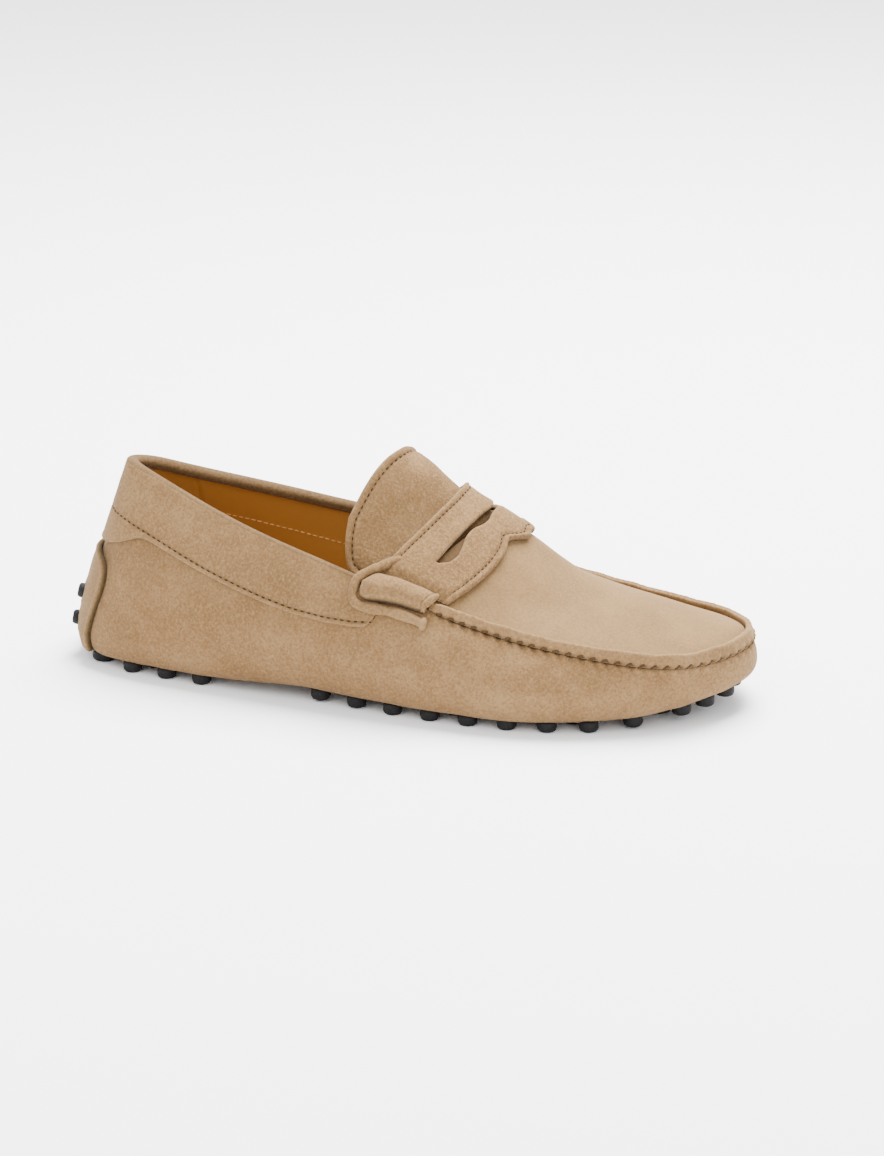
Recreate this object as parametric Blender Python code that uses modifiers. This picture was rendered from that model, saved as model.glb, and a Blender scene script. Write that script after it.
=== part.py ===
"""Driving moccasin, a right shoe, empty and standing on its rubber pebbles.

Metres, +Z up, +X towards the toe, +Y towards the inner side of the foot. The origin is on the
floor, under the middle of the shoe's box. The tables below are a last maker's sheet in
millimetres, measured from the back of the heel, from the middle of the last and from the floor.
"""

from collections import namedtuple
from math import cos, pi, radians, sin

import bmesh
import bpy
import numpy as np
from mathutils import Vector

NAME = "driving_moccasin"
MM = 0.001
BOX_MIDDLE = (136.6, -2.0)       # middle of the finished shoe's box, mm

# Thicknesses and clearances, mm.
GAP = 0.3
EASE = 0.15                     # added to it where two curved skins lie over each other
UPPER_WALL = 2.0
BAND_WALL = 1.2
STRAP_WALL = 2.4
TONGUE_WALL = 2.0
SOLE_WALL = 2.0
INSOLE_WALL = 2.0
INSOLE_INSET = 1.8              # inside the feather line
PLATE_WALL = 0.8
PEBBLE_HEIGHT = 3.7             # below the rubber plate
TURN_IN = 3.0                   # the wall is turned in under the foot by this much
BOTTOM = PEBBLE_HEIGHT + PLATE_WALL + GAP

# The wall, once round the shoe. x, y: plan of the girth, the widest line. girth: its height.
# inset, feather: how far the bottom edge lies inside the girth, and its height. top_x, top_y, top:
# the top edge, which is the topline behind and the moccasin seam in front. belly: 1 leans in
# evenly from girth to top, more stays upright for longer.
WallRow = namedtuple("WallRow", "x y girth inset feather top_x top_y top belly")
WALL = {
    "heel back": WallRow(0, 0, 10, 3, 4.9, 20, 0, 81.2, 1.25),
    "heel corner out": WallRow(11, -24.5, 14, 3.5, 4.8, 26.5, -7.8, 80.2, 1.3),
    "heel side out": WallRow(38, -35, 20, 4.5, 4.8, 42, -14.8, 76.0, 1.5),
    "quarter out": WallRow(75, -40.5, 21, 5.0, 5.3, 77, -27, 65.6, 1.8),
    "waist out": WallRow(104, -44.5, 20, 6.5, 6.0, 106, -34, 58.4, 2.0),
    "throat out": WallRow(134, -49, 20, 6, 5.2, 132, -39.2, 52.0, 2.0),
    "joint out": WallRow(176, -52.5, 18, 5, 4.8, 172, -41.6, 38.6, 2.0),
    "forepart out": WallRow(222, -46.8, 16, 5.5, 5.0, 216, -41.2, 30.9, 2.0),
    "toe corner out": WallRow(250, -32.5, 16, 6.5, 6.9, 248.5, -32.0, 27.2, 2.0),
    "toe side out": WallRow(267.5, -16.5, 17, 6.5, 9.4, 266, -17.2, 26.5, 2.0),
    "toe tip": WallRow(277.6, 6, 18, 6, 11.6, 275.2, 5, 27.3, 2.0),
    "toe side in": WallRow(270, 27, 18, 7, 10.5, 267, 25.5, 28.6, 2.0),
    "toe corner in": WallRow(250, 42, 17, 8, 8.0, 245, 36, 31.2, 2.0),
    "joint in": WallRow(212, 48.5, 17, 9, 5.0, 208, 38.5, 36.3, 2.0),
    "waist front in": WallRow(165, 43.5, 19, 10, 5.6, 166, 38.5, 44.5, 2.0),
    "throat in": WallRow(132, 38.5, 21, 9, 7.8, 132, 36, 53.6, 2.0),
    "waist in": WallRow(100, 36.5, 23, 8, 8.6, 103, 31.5, 59.8, 1.8),
    "quarter in": WallRow(70, 36.5, 22, 6, 6.4, 75, 25.6, 66.2, 1.7),
    "heel side in": WallRow(38, 34, 20, 4.5, 4.8, 42, 14.8, 76.0, 1.5),
    "heel corner in": WallRow(11, 24, 14, 3.5, 4.8, 26.5, 7.8, 80.2, 1.3),
}

# The instep, from the tongue's top to the toe. edge_x: where the section meets the wall's top
# edge, on both sides. x, y, z: its crest. bow: how far it runs back towards its ends in an
# arc. crown: 2 is a parabola, more is flatter on top.
InstepRow = namedtuple("InstepRow", "edge_x x y z bow crown")
INSTEP = {
    "tongue top": InstepRow(106, 137.4, 0, 99.0, 2.2, 2.8),
    "strap back": InstepRow(122, 158, 5, 79.4, 1.6, 2.0),
    "throat": InstepRow(143, 172, 6, 70.3, 1.6, 2.0),
    "strap front": InstepRow(163, 187, 8, 60.2, 1.6, 2.0),
    "joint": InstepRow(188, 206, 9.5, 49.6, 1.6, 2.1),
    "forepart": InstepRow(212, 226, 10.5, 43.2, 1.5, 2.3),
    "toe cap": InstepRow(235, 245, 10, 39.4, 1.5, 2.4),
    "toe": InstepRow(256, 259, 8, 36.7, 1.3, 2.4),
    "tip": InstepRow(None, 268, 6.5, 34.2, 1.0, 2.2),
}
THROAT = 2.0                    # rows of the table, where the apron starts

# Front and back edge of the strap and its slot, in rows of the instep table, from the crest
# (across 0) to the moccasin seam (across 1).
StrapRow = namedtuple("StrapRow", "across back slot_back slot_front front")
STRAP = {
    "crest": StrapRow(0.00, 1.00, 1.72, 1.90, 3.02),
    "bump": StrapRow(0.08, 1.00, 1.72, 1.95, 3.00),
    "scallop": StrapRow(0.17, 1.00, 1.73, 2.07, 2.86),
    "belly": StrapRow(0.28, 1.00, 1.75, 2.10, 2.74),
    "slot end": StrapRow(0.42, 1.00, 1.80, 1.86, 2.82),
    "shoulder": StrapRow(0.60, 1.00, 1.82, 1.88, 2.88),
    "side": StrapRow(0.74, 1.01, 1.84, 1.90, 2.90),
    "end": StrapRow(0.85, 1.03, 1.85, 1.91, 2.88),
}
SLOT_REACH = 0.42
STRAP_STATIONS = (0.0, 0.05, 0.11, 0.17, 0.23, 0.30, 0.36, SLOT_REACH, 0.53, 0.64, 0.75, 0.85)

# The tongue: how far across it reaches, and its outline in rows of the instep table.
TONGUE_REACH = (0.82, 0.90)      # at its top, under the strap
TONGUE_ROUND = 0.45             # rows that its top corners drop
TONGUE_CORNER = 5.0             # 2 is a parabola, more is squarer
TONGUE_END = 2.55               # under the apron
TONGUE_EASE = 0.5               # slack between it and the apron
TONGUE_ROWS = 7
TONGUE_COLUMNS = 15

# Lower edge of the topline band, from heel back (tab) to its front end: x of the topline and
# height of the lower edge, the same on both sides.
BandRow = namedtuple("BandRow", "top_x low")
BAND = {
    "tab middle": BandRow(19, 43.2),
    "tab side": BandRow(23, 43.6),
    "tab corner": BandRow(32, 48.5),
    "dip": BandRow(44, 56.0),
    "quarter": BandRow(74, 51.0),
    "waist": BandRow(104, 42.0),
    "front": BandRow(128, 37.6),
    "front end": BandRow(135, 37.4),
}
BAND_FOLD = 5.0                 # how deep the band is turned into the shoe
BAND_RISE = 1.5                 # middle of its fold above the wall's edge
BAND_ROWS = 3
BAND_CORNER = 0.12              # how much its front corners are cut, as a share of the wall
FOLD_END_X = 120.8              # in front of this the strap covers the topline

# The guard on the heel back, half widths at its heights.
GuardRow = namedtuple("GuardRow", "z half")
GUARD = {
    "top": GuardRow(41.6, 5.5),
    "shoulder": GuardRow(39.5, 9.6),
    "upper": GuardRow(34, 12.2),
    "middle": GuardRow(24, 15.6),
    "lower": GuardRow(12, 18.8),
    "bottom": GuardRow(6.2, 19.8),
}
GUARD_WALL = 1.4
GUARD_ROWS = 8
GUARD_ACROSS = 9
BACK_PLATE_LEVELS = (31, 26, 21, 16.5, 12.5)
BACK_PLATE_SHARE = 0.68         # of the guard's half width
BACK_PLATE_ACROSS = 7
BACK_PEBBLES = ((-9.5, 14.6), (9.5, 14.6), (-9.5, 26.2), (9.5, 26.2))
BACK_PEBBLE_RADIUS = 3.1
BACK_PEBBLE_RISE = 3.0          # out of the guard

# Pebbles of the sole, mm.
PEBBLE_RADIUS = 3.8
PEBBLE_TIP = 3.2
PEBBLE_ROW = 7.85
PEBBLE_ACROSS = 20.0
PEBBLE_INSET = 3.6              # outer pebbles' middle inside the feather line
PEBBLE_SIDES = 8
PEBBLE_CLEAR = 8.6              # least distance between two middles
FLAT_TOLERANCE = 0.4            # a bottom this little above the flat still stands on it
HEEL_UNIT = (12.0, 67.0)        # first and last row, x
FOREFOOT_UNIT = (111.0, 245.0)
TOE_ARCS = ((PEBBLE_INSET, 6), (PEBBLE_INSET + 12.0, 4))    # inset and count, round the toe
PLATE_INSET = 3.2
PLATE_REACH = 7.0               # past the first or last row, into the waist

# Rolled strap ends: place along the topline, reach of the roll above and below the wall's top
# edge, and how far its lobe stands out.
RollRow = namedtuple("RollRow", "top_x above below bulge")
ROLL = {
    "back": RollRow(123.4, 2.4, 5.0, 0.6),
    "curl": RollRow(127, 5.6, 7.2, 2.4),
    "swell": RollRow(133, 6.4, 7.8, 4.4),
    "middle": RollRow(143, 6.2, 7.8, 4.8),
    "neck": RollRow(153, 5.2, 7.2, 4.0),
    "front": RollRow(159.5, 3.2, 5.6, 2.2),
}
# Across the roll, from its low edge up: share of its width, share of the bulge.
ROLL_SECTION = ((0.0, 0.0), (0.05, 0.30), (0.30, 0.34), (0.37, 0.10), (0.47, 0.72),
                (0.68, 1.0), (0.88, 0.76), (1.0, 0.1))
ROLL_SKIN = 0.9                 # thickness along its borders
ROLL_STATIONS = 8
ROLL_STEP = 8.0                 # it comes down to the wall this far in front of the band

SEAM_HEIGHT = 4.3
SEAM_HALF = 1.3
SEAM_SECTION = ((0.55, -1.1), (1.0, -0.6), (0.95, 0.8), (0.5, 1.2))     # shares of both
SEAM_START = 3.03               # row of the instep table

COLLAR_COLUMNS = 17             # wall columns on each side, heel to throat
SEAM_COLUMNS = 18               # throat to toe tip
WALL_HEIGHTS = (0.0, 0.12, 0.26, 0.40, 0.60, 0.80, 1.0)
GIRTH_AT = 0.40
APRON_ROWS = 4
INSIDE = np.array((140.0, 0.0, 22.0))
LONG = 1000.0                   # longer than any shoe
END_LENGTH = 10.0               # a sheet of the bottom narrows to a round end over this


def table(rows):
    """Numbers of a table with named rows, one line per row."""
    return np.array([[np.nan if v is None else v for v in row] for row in rows.values()], float)


def second_slopes(knots, values, periodic):
    """Second derivatives at the knots of the smooth cubic through the rows."""
    n = len(values)
    step = np.diff(knots)
    matrix = np.zeros((n, n))
    right = np.zeros(values.shape)
    for i in range(n):
        if not periodic and i in (0, n - 1):
            matrix[i, i] = 1.0
            continue
        before, after = step[i - 1], step[i]
        nxt = (i + 1) % n
        matrix[i, i - 1] += before
        matrix[i, i] += 2 * (before + after)
        matrix[i, nxt] += after
        right[i] = 6 * ((values[nxt] - values[i]) / after - (values[i] - values[i - 1]) / before)
    return np.linalg.solve(matrix, right)


class Curve:
    """A smooth curve through rows of numbers; periodic when it has one knot more than rows."""

    def __init__(self, knots, values):
        self.knots = np.asarray(knots, float)
        self.values = np.asarray(values, float)
        self.periodic = len(self.knots) == len(self.values) + 1
        self.bend = second_slopes(self.knots, self.values, self.periodic)

    def __call__(self, at):
        if self.periodic:
            at = at % self.knots[-1]
        last = len(self.knots) - 2
        k = int(np.clip(np.searchsorted(self.knots, at, side="right") - 1, 0, last))
        nxt = (k + 1) % len(self.values)
        step = self.knots[k + 1] - self.knots[k]
        a = (self.knots[k + 1] - at) / step
        b = (at - self.knots[k]) / step
        bend = (a ** 3 - a) * self.bend[k] + (b ** 3 - b) * self.bend[nxt]
        return a * self.values[k] + b * self.values[nxt] + bend * step ** 2 / 6


def closed_knots(plan):
    """Running length round a closed plan, scaled to 1."""
    steps = np.linalg.norm(np.roll(plan, -1, axis=0) - plan, axis=1)
    return np.concatenate([[0.0], np.cumsum(steps)]) / steps.sum()


WALL_ROWS = table(WALL)
WALL_CURVE = Curve(closed_knots(WALL_ROWS[:, :2]), WALL_ROWS)
TIP_AT = WALL_CURVE.knots[list(WALL).index("toe tip")]


def unit(vector):
    """The vector at length 1."""
    return vector / np.linalg.norm(vector)


def wall_row(t):
    """The wall's measures at a place round the shoe."""
    return WallRow(*WALL_CURVE(t))


def plan_outward(t):
    """Direction out of the girth's plan."""
    ahead = WALL_CURVE(t + 0.002)[:2] - WALL_CURVE(t - 0.002)[:2]
    return unit(np.array((-ahead[1], ahead[0]))) * -1.0


def wall_point(t, h):
    """Point of the wall's outer face: t once round the shoe, h from bottom edge to top edge.

    Below 0, h is how far the wall is turned in under the foot, in millimetres.
    """
    row = wall_row(t)
    if h < GIRTH_AT:
        angle = max(h, 0.0) / GIRTH_AT * pi / 2
        inside = row.inset * (1 - sin(angle)) + max(-h, 0.0)
        x, y = np.array((row.x, row.y)) - plan_outward(t) * inside
        return np.array((x, y, row.girth - (row.girth - row.feather) * cos(angle)))
    s = (h - GIRTH_AT) / (1 - GIRTH_AT)
    lean = s ** row.belly
    return np.array((row.x + (row.top_x - row.x) * lean, row.y + (row.top_y - row.y) * lean,
                     row.girth + (row.top - row.girth) * s))


def wall_frame(t, h):
    """Point, outward normal and upward direction of the wall."""
    low, high = max(h - 0.01, 0.0), min(h + 0.01, 1.0)
    up = unit(wall_point(t, high) - wall_point(t, low))
    along = unit(wall_point(t + 0.001, h) - wall_point(t - 0.001, h))
    normal = unit(np.cross(up, along))
    point = wall_point(t, h)
    if normal @ (point - INSIDE) < 0:
        normal = -normal
    return point, normal, up


def wall_offset(t, h, offset):
    """Point at a distance outside the wall."""
    point, normal, _ = wall_frame(t, h)
    return point + normal * offset


def find(function, target, low, high):
    """Where a rising or falling function meets the target, by halving."""
    rising = function(high) > function(low)
    for _ in range(40):
        middle = (low + high) / 2
        if (function(middle) < target) == rising:
            low = middle
        else:
            high = middle
    return (low + high) / 2


def side_at(top_x, side):
    """Place round the wall where its top edge is at top_x, on the outer (-1) or inner side."""
    ends = (0.0, TIP_AT) if side < 0 else (1.0, TIP_AT)
    return find(lambda t: wall_row(t).top_x, top_x, *ends)


def height_at(t, z):
    """h where the wall above its girth is at the height z."""
    row = wall_row(t)
    return GIRTH_AT + (1 - GIRTH_AT) * (z - row.girth) / (row.top - row.girth)


def instep_curves():
    """Crest curve, and the places round the wall of the sections' outer and inner ends."""
    rows = table(INSTEP)
    knots = np.arange(len(rows), dtype=float)
    ends = {}
    for side in (-1, 1):
        places = [side_at(x, side) for x in rows[:-1, 0]] + [TIP_AT]
        ends[side] = Curve(knots, places)
    return Curve(knots, rows[:, 1:]), ends


CREST, ENDS = instep_curves()


def instep_point(s, v):
    """Point of the instep: s in rows of the table, v from -1, outer end, to 1, inner end."""
    x, y, z, bow, crown = CREST(s)
    edge = wall_row(ENDS[-1 if v < 0 else 1](s))
    reach = abs(v)
    return np.array((x + (edge.top_x - x) * reach ** bow,
                     y + (edge.top_y - y) * reach,
                     edge.top + (z - edge.top) * (1 - reach ** crown)))


def instep_offset(s, v, offset):
    """Point at a distance above the instep."""
    step_s, step_v = 0.02, 0.02
    along = instep_point(s + step_s, v) - instep_point(s - step_s, v)
    across = instep_point(s, v + step_v) - instep_point(s, v - step_v)
    normal = unit(np.cross(along, across))
    if normal[2] < 0:
        normal = -normal
    return instep_point(s, v) + normal * offset


def spread(function, first, last, count):
    """Values from first to last at which the curve's points are evenly spaced."""
    fine = np.linspace(first, last, 201)
    points = np.array([function(value) for value in fine])
    run = np.concatenate([[0], np.cumsum(np.linalg.norm(np.diff(points, axis=0), axis=1))])
    return np.interp(np.linspace(0, run[-1], count + 1), run, fine)


def wall_columns():
    """Places of all columns round the shoe, and the instep rows of those on the seam."""
    def edge_length(t):
        return np.concatenate([wall_point(t, 1.0), 0.7 * wall_point(t, GIRTH_AT)])

    rows = spread(lambda s: instep_point(s, -1.0), THROAT, len(INSTEP) - 1, SEAM_COLUMNS)
    out = list(spread(edge_length, 0.0, ENDS[-1](THROAT), COLLAR_COLUMNS)[:-1])
    out += [ENDS[-1](s) for s in rows]
    inner = [ENDS[1](s) for s in rows[-2::-1]]
    inner += list(spread(edge_length, ENDS[1](THROAT), 1.0, COLLAR_COLUMNS)[1:-1])
    return np.array(out + inner), rows


PLACES, SEAM_ROWS = wall_columns()
COUNT = len(PLACES)
HALF = COUNT // 2


# Blender helpers.

def place(point):
    """A point of the millimetre sheet in metres, in the shoe's own frame."""
    return Vector(((point[0] - BOX_MIDDLE[0]) * MM, (point[1] - BOX_MIDDLE[1]) * MM, point[2] * MM))


def clear_scene():
    """Start from an empty scene."""
    for obj in list(bpy.data.objects):
        bpy.data.objects.remove(obj, do_unlink=True)


def collection(name):
    """A new collection in the scene."""
    made = bpy.data.collections.new(name)
    bpy.context.scene.collection.children.link(made)
    return made


def finish(name, colour, roughness):
    """A plain material."""
    material = bpy.data.materials.new(name)
    material.use_nodes = True
    shader = material.node_tree.nodes["Principled BSDF"]
    shader.inputs["Base Color"].default_value = (*colour, 1.0)
    shader.inputs["Roughness"].default_value = roughness
    shader.inputs["Metallic"].default_value = 0.0
    return material


SUEDE = (0.47, 0.33, 0.20)
SUEDE_EDGE = (0.40, 0.29, 0.18)
LINING_TAN = (0.30, 0.13, 0.025)
RUBBER_BLACK = (0.02, 0.018, 0.017)


def add_mesh(name, bm, material, where, smooth_angle=40):
    """An object from a bmesh, smooth but for its sharp edges."""
    mesh = bpy.data.meshes.new(name)
    bm.to_mesh(mesh)
    bm.free()
    mesh.shade_smooth()
    mesh.set_sharp_from_angle(angle=radians(smooth_angle))
    mesh.materials.append(material)
    obj = bpy.data.objects.new(name, mesh)
    where.objects.link(obj)
    return obj


def grid_faces(rows, columns, closed=False, skip=()):
    """Faces of a grid of points, row after row; skip holds (row, column) cells left open."""
    faces = []
    for r in range(rows - 1):
        for c in range(columns if closed else columns - 1):
            if (r, c) in skip:
                continue
            d = (c + 1) % columns
            faces.append((r * columns + c, r * columns + d,
                          (r + 1) * columns + d, (r + 1) * columns + c))
    return faces


def open_sheet(points, faces):
    """A bmesh surface whose normals point away from the inside of the shoe."""
    bm = bmesh.new()
    vertices = [bm.verts.new(place(p)) for p in points]
    for face in faces:
        corners = []
        for index in face:
            if vertices[index] not in corners:
                corners.append(vertices[index])
        if len(corners) > 2:
            bm.faces.new(corners)
    loose = [v for v in bm.verts if not v.link_faces]
    bmesh.ops.delete(bm, geom=loose, context="VERTS")
    bmesh.ops.remove_doubles(bm, verts=bm.verts, dist=0.01 * MM)
    bmesh.ops.recalc_face_normals(bm, faces=bm.faces)
    facing = sum(face.calc_area() * face.normal.dot(face.calc_center_median() - place(INSIDE))
                 for face in bm.faces)
    if facing < 0:
        bmesh.ops.reverse_faces(bm, faces=bm.faces)
    return bm


def shell(name, points, faces, wall, material, where, outward=False):
    """A skin of even thickness on one side of an open surface."""
    obj = add_mesh(name, open_sheet(points, faces), material, where)
    solid = obj.modifiers.new("Wall", "SOLIDIFY")
    solid.thickness = wall * MM
    solid.offset = 1.0 if outward else -1.0
    solid.use_even_offset = True
    solid.use_quality_normals = True
    return obj


def patch(name, outer, inner, faces, material, where, smooth_angle=40):
    """A closed piece between two sheets of points that share their faces."""
    count = len(outer)
    bm = bmesh.new()
    vertices = [bm.verts.new(place(p)) for p in list(outer) + list(inner)]
    borders = {}
    for face in faces:
        bm.faces.new([vertices[i] for i in face])
        bm.faces.new([vertices[i + count] for i in reversed(face)])
        for a, b in zip(face, face[1:] + face[:1]):
            if (b, a) in borders:
                del borders[(b, a)]
            else:
                borders[(a, b)] = True
    for a, b in borders:
        bm.faces.new([vertices[b], vertices[a], vertices[a + count], vertices[b + count]])
    loose = [v for v in bm.verts if not v.link_faces]
    bmesh.ops.delete(bm, geom=loose, context="VERTS")
    bmesh.ops.recalc_face_normals(bm, faces=bm.faces)
    return add_mesh(name, bm, material, where, smooth_angle)


# The pieces.

def make_upper(material, where):
    """Wall and apron in one skin, open at the topline, the throat and underneath."""
    heights = (-TURN_IN,) + WALL_HEIGHTS
    points = [wall_point(t, h) for h in heights for t in PLACES]
    faces = grid_faces(len(heights), COUNT, closed=True)
    top = (len(heights) - 1) * COUNT
    first = len(points)
    across = [1 - (k + 1) / APRON_ROWS for k in range(APRON_ROWS)]
    for s in SEAM_ROWS:
        for side in (-1, 1):
            points += [instep_point(s, side * v) for v in across]

    def apron(column, side, row):
        """Index of an apron point; row 0 is on the moccasin seam."""
        if row == 0:
            ring = COLLAR_COLUMNS + column
            return top + (ring if side < 0 else (COUNT - ring) % COUNT)
        return first + (column * 2 + (side > 0)) * APRON_ROWS + row - 1

    for column in range(SEAM_COLUMNS):
        for side in (-1, 1):
            for row in range(APRON_ROWS):
                faces.append((apron(column, side, row), apron(column + 1, side, row),
                              apron(column + 1, side, row + 1), apron(column, side, row + 1)))
    return shell("upper", points, faces, UPPER_WALL, material, where)


def make_tongue(material, where):
    """Tongue with a round top, tucked under the apron."""
    points = []
    for down in np.linspace(0, 1, TONGUE_ROWS):
        for u in np.linspace(-1, 1, TONGUE_COLUMNS):
            start = TONGUE_ROUND * abs(u) ** TONGUE_CORNER
            s = start + (TONGUE_END - start) * down
            reach = np.interp(s, (0.0, 1.0), TONGUE_REACH)
            points.append(instep_offset(s, u * reach, -UPPER_WALL - GAP - TONGUE_EASE))
    faces = grid_faces(TONGUE_ROWS, TONGUE_COLUMNS)
    return shell("tongue", points, faces, TONGUE_WALL, material, where)


def strap_row(v):
    """The strap's edges at a place across the instep."""
    rows = table(STRAP)
    return StrapRow(*(np.interp(abs(v), rows[:, 0], rows[:, k]) for k in range(rows.shape[1])))


def make_strap(material, where):
    """Penny strap over apron and tongue, with its slot left open."""
    across = [-v for v in STRAP_STATIONS[:0:-1]] + list(STRAP_STATIONS)
    edges = [strap_row(v) for v in across]
    rows = [[e.back + (e.slot_back - e.back) * part for e in edges] for part in (0.0, 0.5, 1.0)]
    rows += [[e.slot_front + (e.front - e.slot_front) * part for e in edges]
             for part in (0.0, 0.5, 1.0)]
    points = [instep_offset(s, v, GAP + EASE) for row in rows for s, v in zip(row, across)]
    slot = [(2, c) for c in range(len(across) - 1)
            if max(abs(across[c]), abs(across[c + 1])) <= SLOT_REACH]
    faces = grid_faces(len(rows), len(across), skip=slot)
    return shell("strap", points, faces, STRAP_WALL, material, where, outward=True)


def band_low(t):
    """h of the topline band's lower edge."""
    rows = table(BAND)
    return height_at(t, np.interp(wall_row(t).top_x, rows[:, 0], rows[:, 1]))


def band_places():
    """Places of the band's columns, from its inner front end round the heel to the outer one."""
    front = BAND["front end"].top_x
    outer = [side_at(front, -1), side_at(FOLD_END_X, -1)]
    outer += [t for t in PLACES[COLLAR_COLUMNS::-1] if wall_row(t).top_x < FOLD_END_X - 2]
    inner = [side_at(front, 1), side_at(FOLD_END_X, 1)]
    inner += [t for t in PLACES[COUNT - COLLAR_COLUMNS:] if wall_row(t).top_x < FOLD_END_X - 2]
    return [t - 1.0 for t in inner] + outer[::-1]


def make_collar(material, where):
    """Topline band with its back tab, folded over the rim into the shoe."""
    places = band_places()
    outside = GAP + EASE + BAND_WALL / 2
    inside = -UPPER_WALL - outside
    grid = []
    for r in range(BAND_ROWS + 1):
        row = []
        for t in places:
            low = band_low(t) + (BAND_CORNER if t in (places[0], places[-1]) else 0.0)
            row.append(wall_offset(t, low + (1.0 - low) * r / BAND_ROWS, outside))
        grid.append(row)
    fold = ((0.35, BAND_RISE * 0.8), (-UPPER_WALL / 2, BAND_RISE),
            (-UPPER_WALL - 0.35, BAND_RISE * 0.8), (inside, 0.0), (inside, -BAND_FOLD))
    for offset, rise in fold:
        row = []
        for t in places:
            point, normal, up = wall_frame(t, 1.0)
            row.append(point + normal * offset + up * rise)
        grid.append(row)
    last = len(places) - 2
    skip = [(r, c) for r in range(BAND_ROWS - 1, len(grid) - 1) for c in (0, last)]
    points = [point for row in grid for point in row]
    obj = add_mesh("collar", open_sheet(points, grid_faces(len(grid), len(places), skip=skip)),
                   material, where)
    solid = obj.modifiers.new("Wall", "SOLIDIFY")
    solid.thickness = BAND_WALL * MM
    solid.offset = 0.0
    solid.use_even_offset = True
    solid.use_quality_normals = True
    return obj


def make_seam(material, where):
    """Raised seam on the edge between wall and apron, as a swept seven-sided bead."""
    rows = [SEAM_START] + [s for s in SEAM_ROWS if s > SEAM_START + 0.1]
    stations = [(s, -1) for s in rows] + [(s, 1) for s in rows[-2::-1]]
    rings = []
    for s, side in stations:
        corner, normal, up = wall_frame(ENDS[side](s), 1.0)
        length = np.linalg.norm(instep_point(s, side * 0.5) - corner)
        edge = side * (1 - 0.6 / length)
        inward = unit(instep_point(s, edge) - corner)
        ahead = instep_point(min(s + 0.02, SEAM_ROWS[-1]), side) - instep_point(s - 0.03, side)
        apron = unit(np.cross(ahead, inward))
        if apron[2] < 0:
            apron = -apron
        rise = unit(up + apron)
        outward = unit(normal - rise * (normal @ rise))
        mitre = (normal + apron) / (1 + normal @ apron)
        gap = GAP + EASE
        foot = [corner - up + normal * gap, corner + mitre * gap,
                corner + inward * SEAM_HALF * 1.3 + apron * gap]
        rings.append(foot + [corner + rise * SEAM_HEIGHT * high + outward * SEAM_HALF * wide
                             for high, wide in SEAM_SECTION])
    sides = len(rings[0])
    bm = bmesh.new()
    loops = [[bm.verts.new(place(p)) for p in ring] for ring in rings]
    for a, b in zip(loops, loops[1:]):
        for k in range(sides):
            bm.faces.new((a[k], a[(k + 1) % sides], b[(k + 1) % sides], b[k]))
    bm.faces.new(loops[0])
    bm.faces.new(reversed(loops[-1]))
    bmesh.ops.recalc_face_normals(bm, faces=bm.faces)
    return add_mesh("apron_seam", bm, material, where)


def over_edge(top_x, side, down, offset):
    """Point above the skin, down the wall from its top edge, or up the instep if down < 0."""
    s = find(lambda row: wall_row(ENDS[side](row)).top_x, top_x, 0.0, 7.0)
    t = ENDS[side](s)
    if down > 0:
        return wall_offset(t, height_at(t, wall_row(t).top - down), offset)
    length = np.linalg.norm(instep_point(s, 0.0) - instep_point(s, side))
    return instep_offset(s, side * (1 + down / length), offset)


def make_roll(name, side, material, where):
    """Rolled end of the strap, a puffy lobe over the end of the strap and the wall below it."""
    rows = table(ROLL)
    outer, inner = [], []
    for top_x in np.linspace(rows[0, 0], rows[-1, 0], ROLL_STATIONS):
        row = RollRow(*(np.interp(top_x, rows[:, 0], rows[:, k]) for k in range(rows.shape[1])))
        lift = GAP + EASE
        if top_x < BAND["front end"].top_x + ROLL_STEP:
            lift += GAP + EASE + BAND_WALL
        for part, share in ROLL_SECTION:
            down = row.below - (row.above + row.below) * part
            inner.append(over_edge(top_x, side, down, lift))
            outer.append(over_edge(top_x, side, down, lift + ROLL_SKIN + row.bulge * share))
    faces = grid_faces(ROLL_STATIONS, len(ROLL_SECTION))
    return patch(name, outer, inner, faces, material, where)


def guard_place(y, z):
    """Place round the heel where the wall is y to the side at height z, and its h."""
    upright = max(z, wall_row(0.0).girth + 4)
    t = find(lambda at: wall_point(at, height_at(at, upright))[1], y, -0.12, 0.12)
    if upright == z:
        return t, height_at(t, z)
    return t, find(lambda h: wall_point(t, h)[2], z, 0.0, 1.0)


def guard_half(z):
    """Half width of the guard at a height."""
    rows = table(GUARD)[::-1]
    return np.interp(z, rows[:, 0], rows[:, 1])


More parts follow.
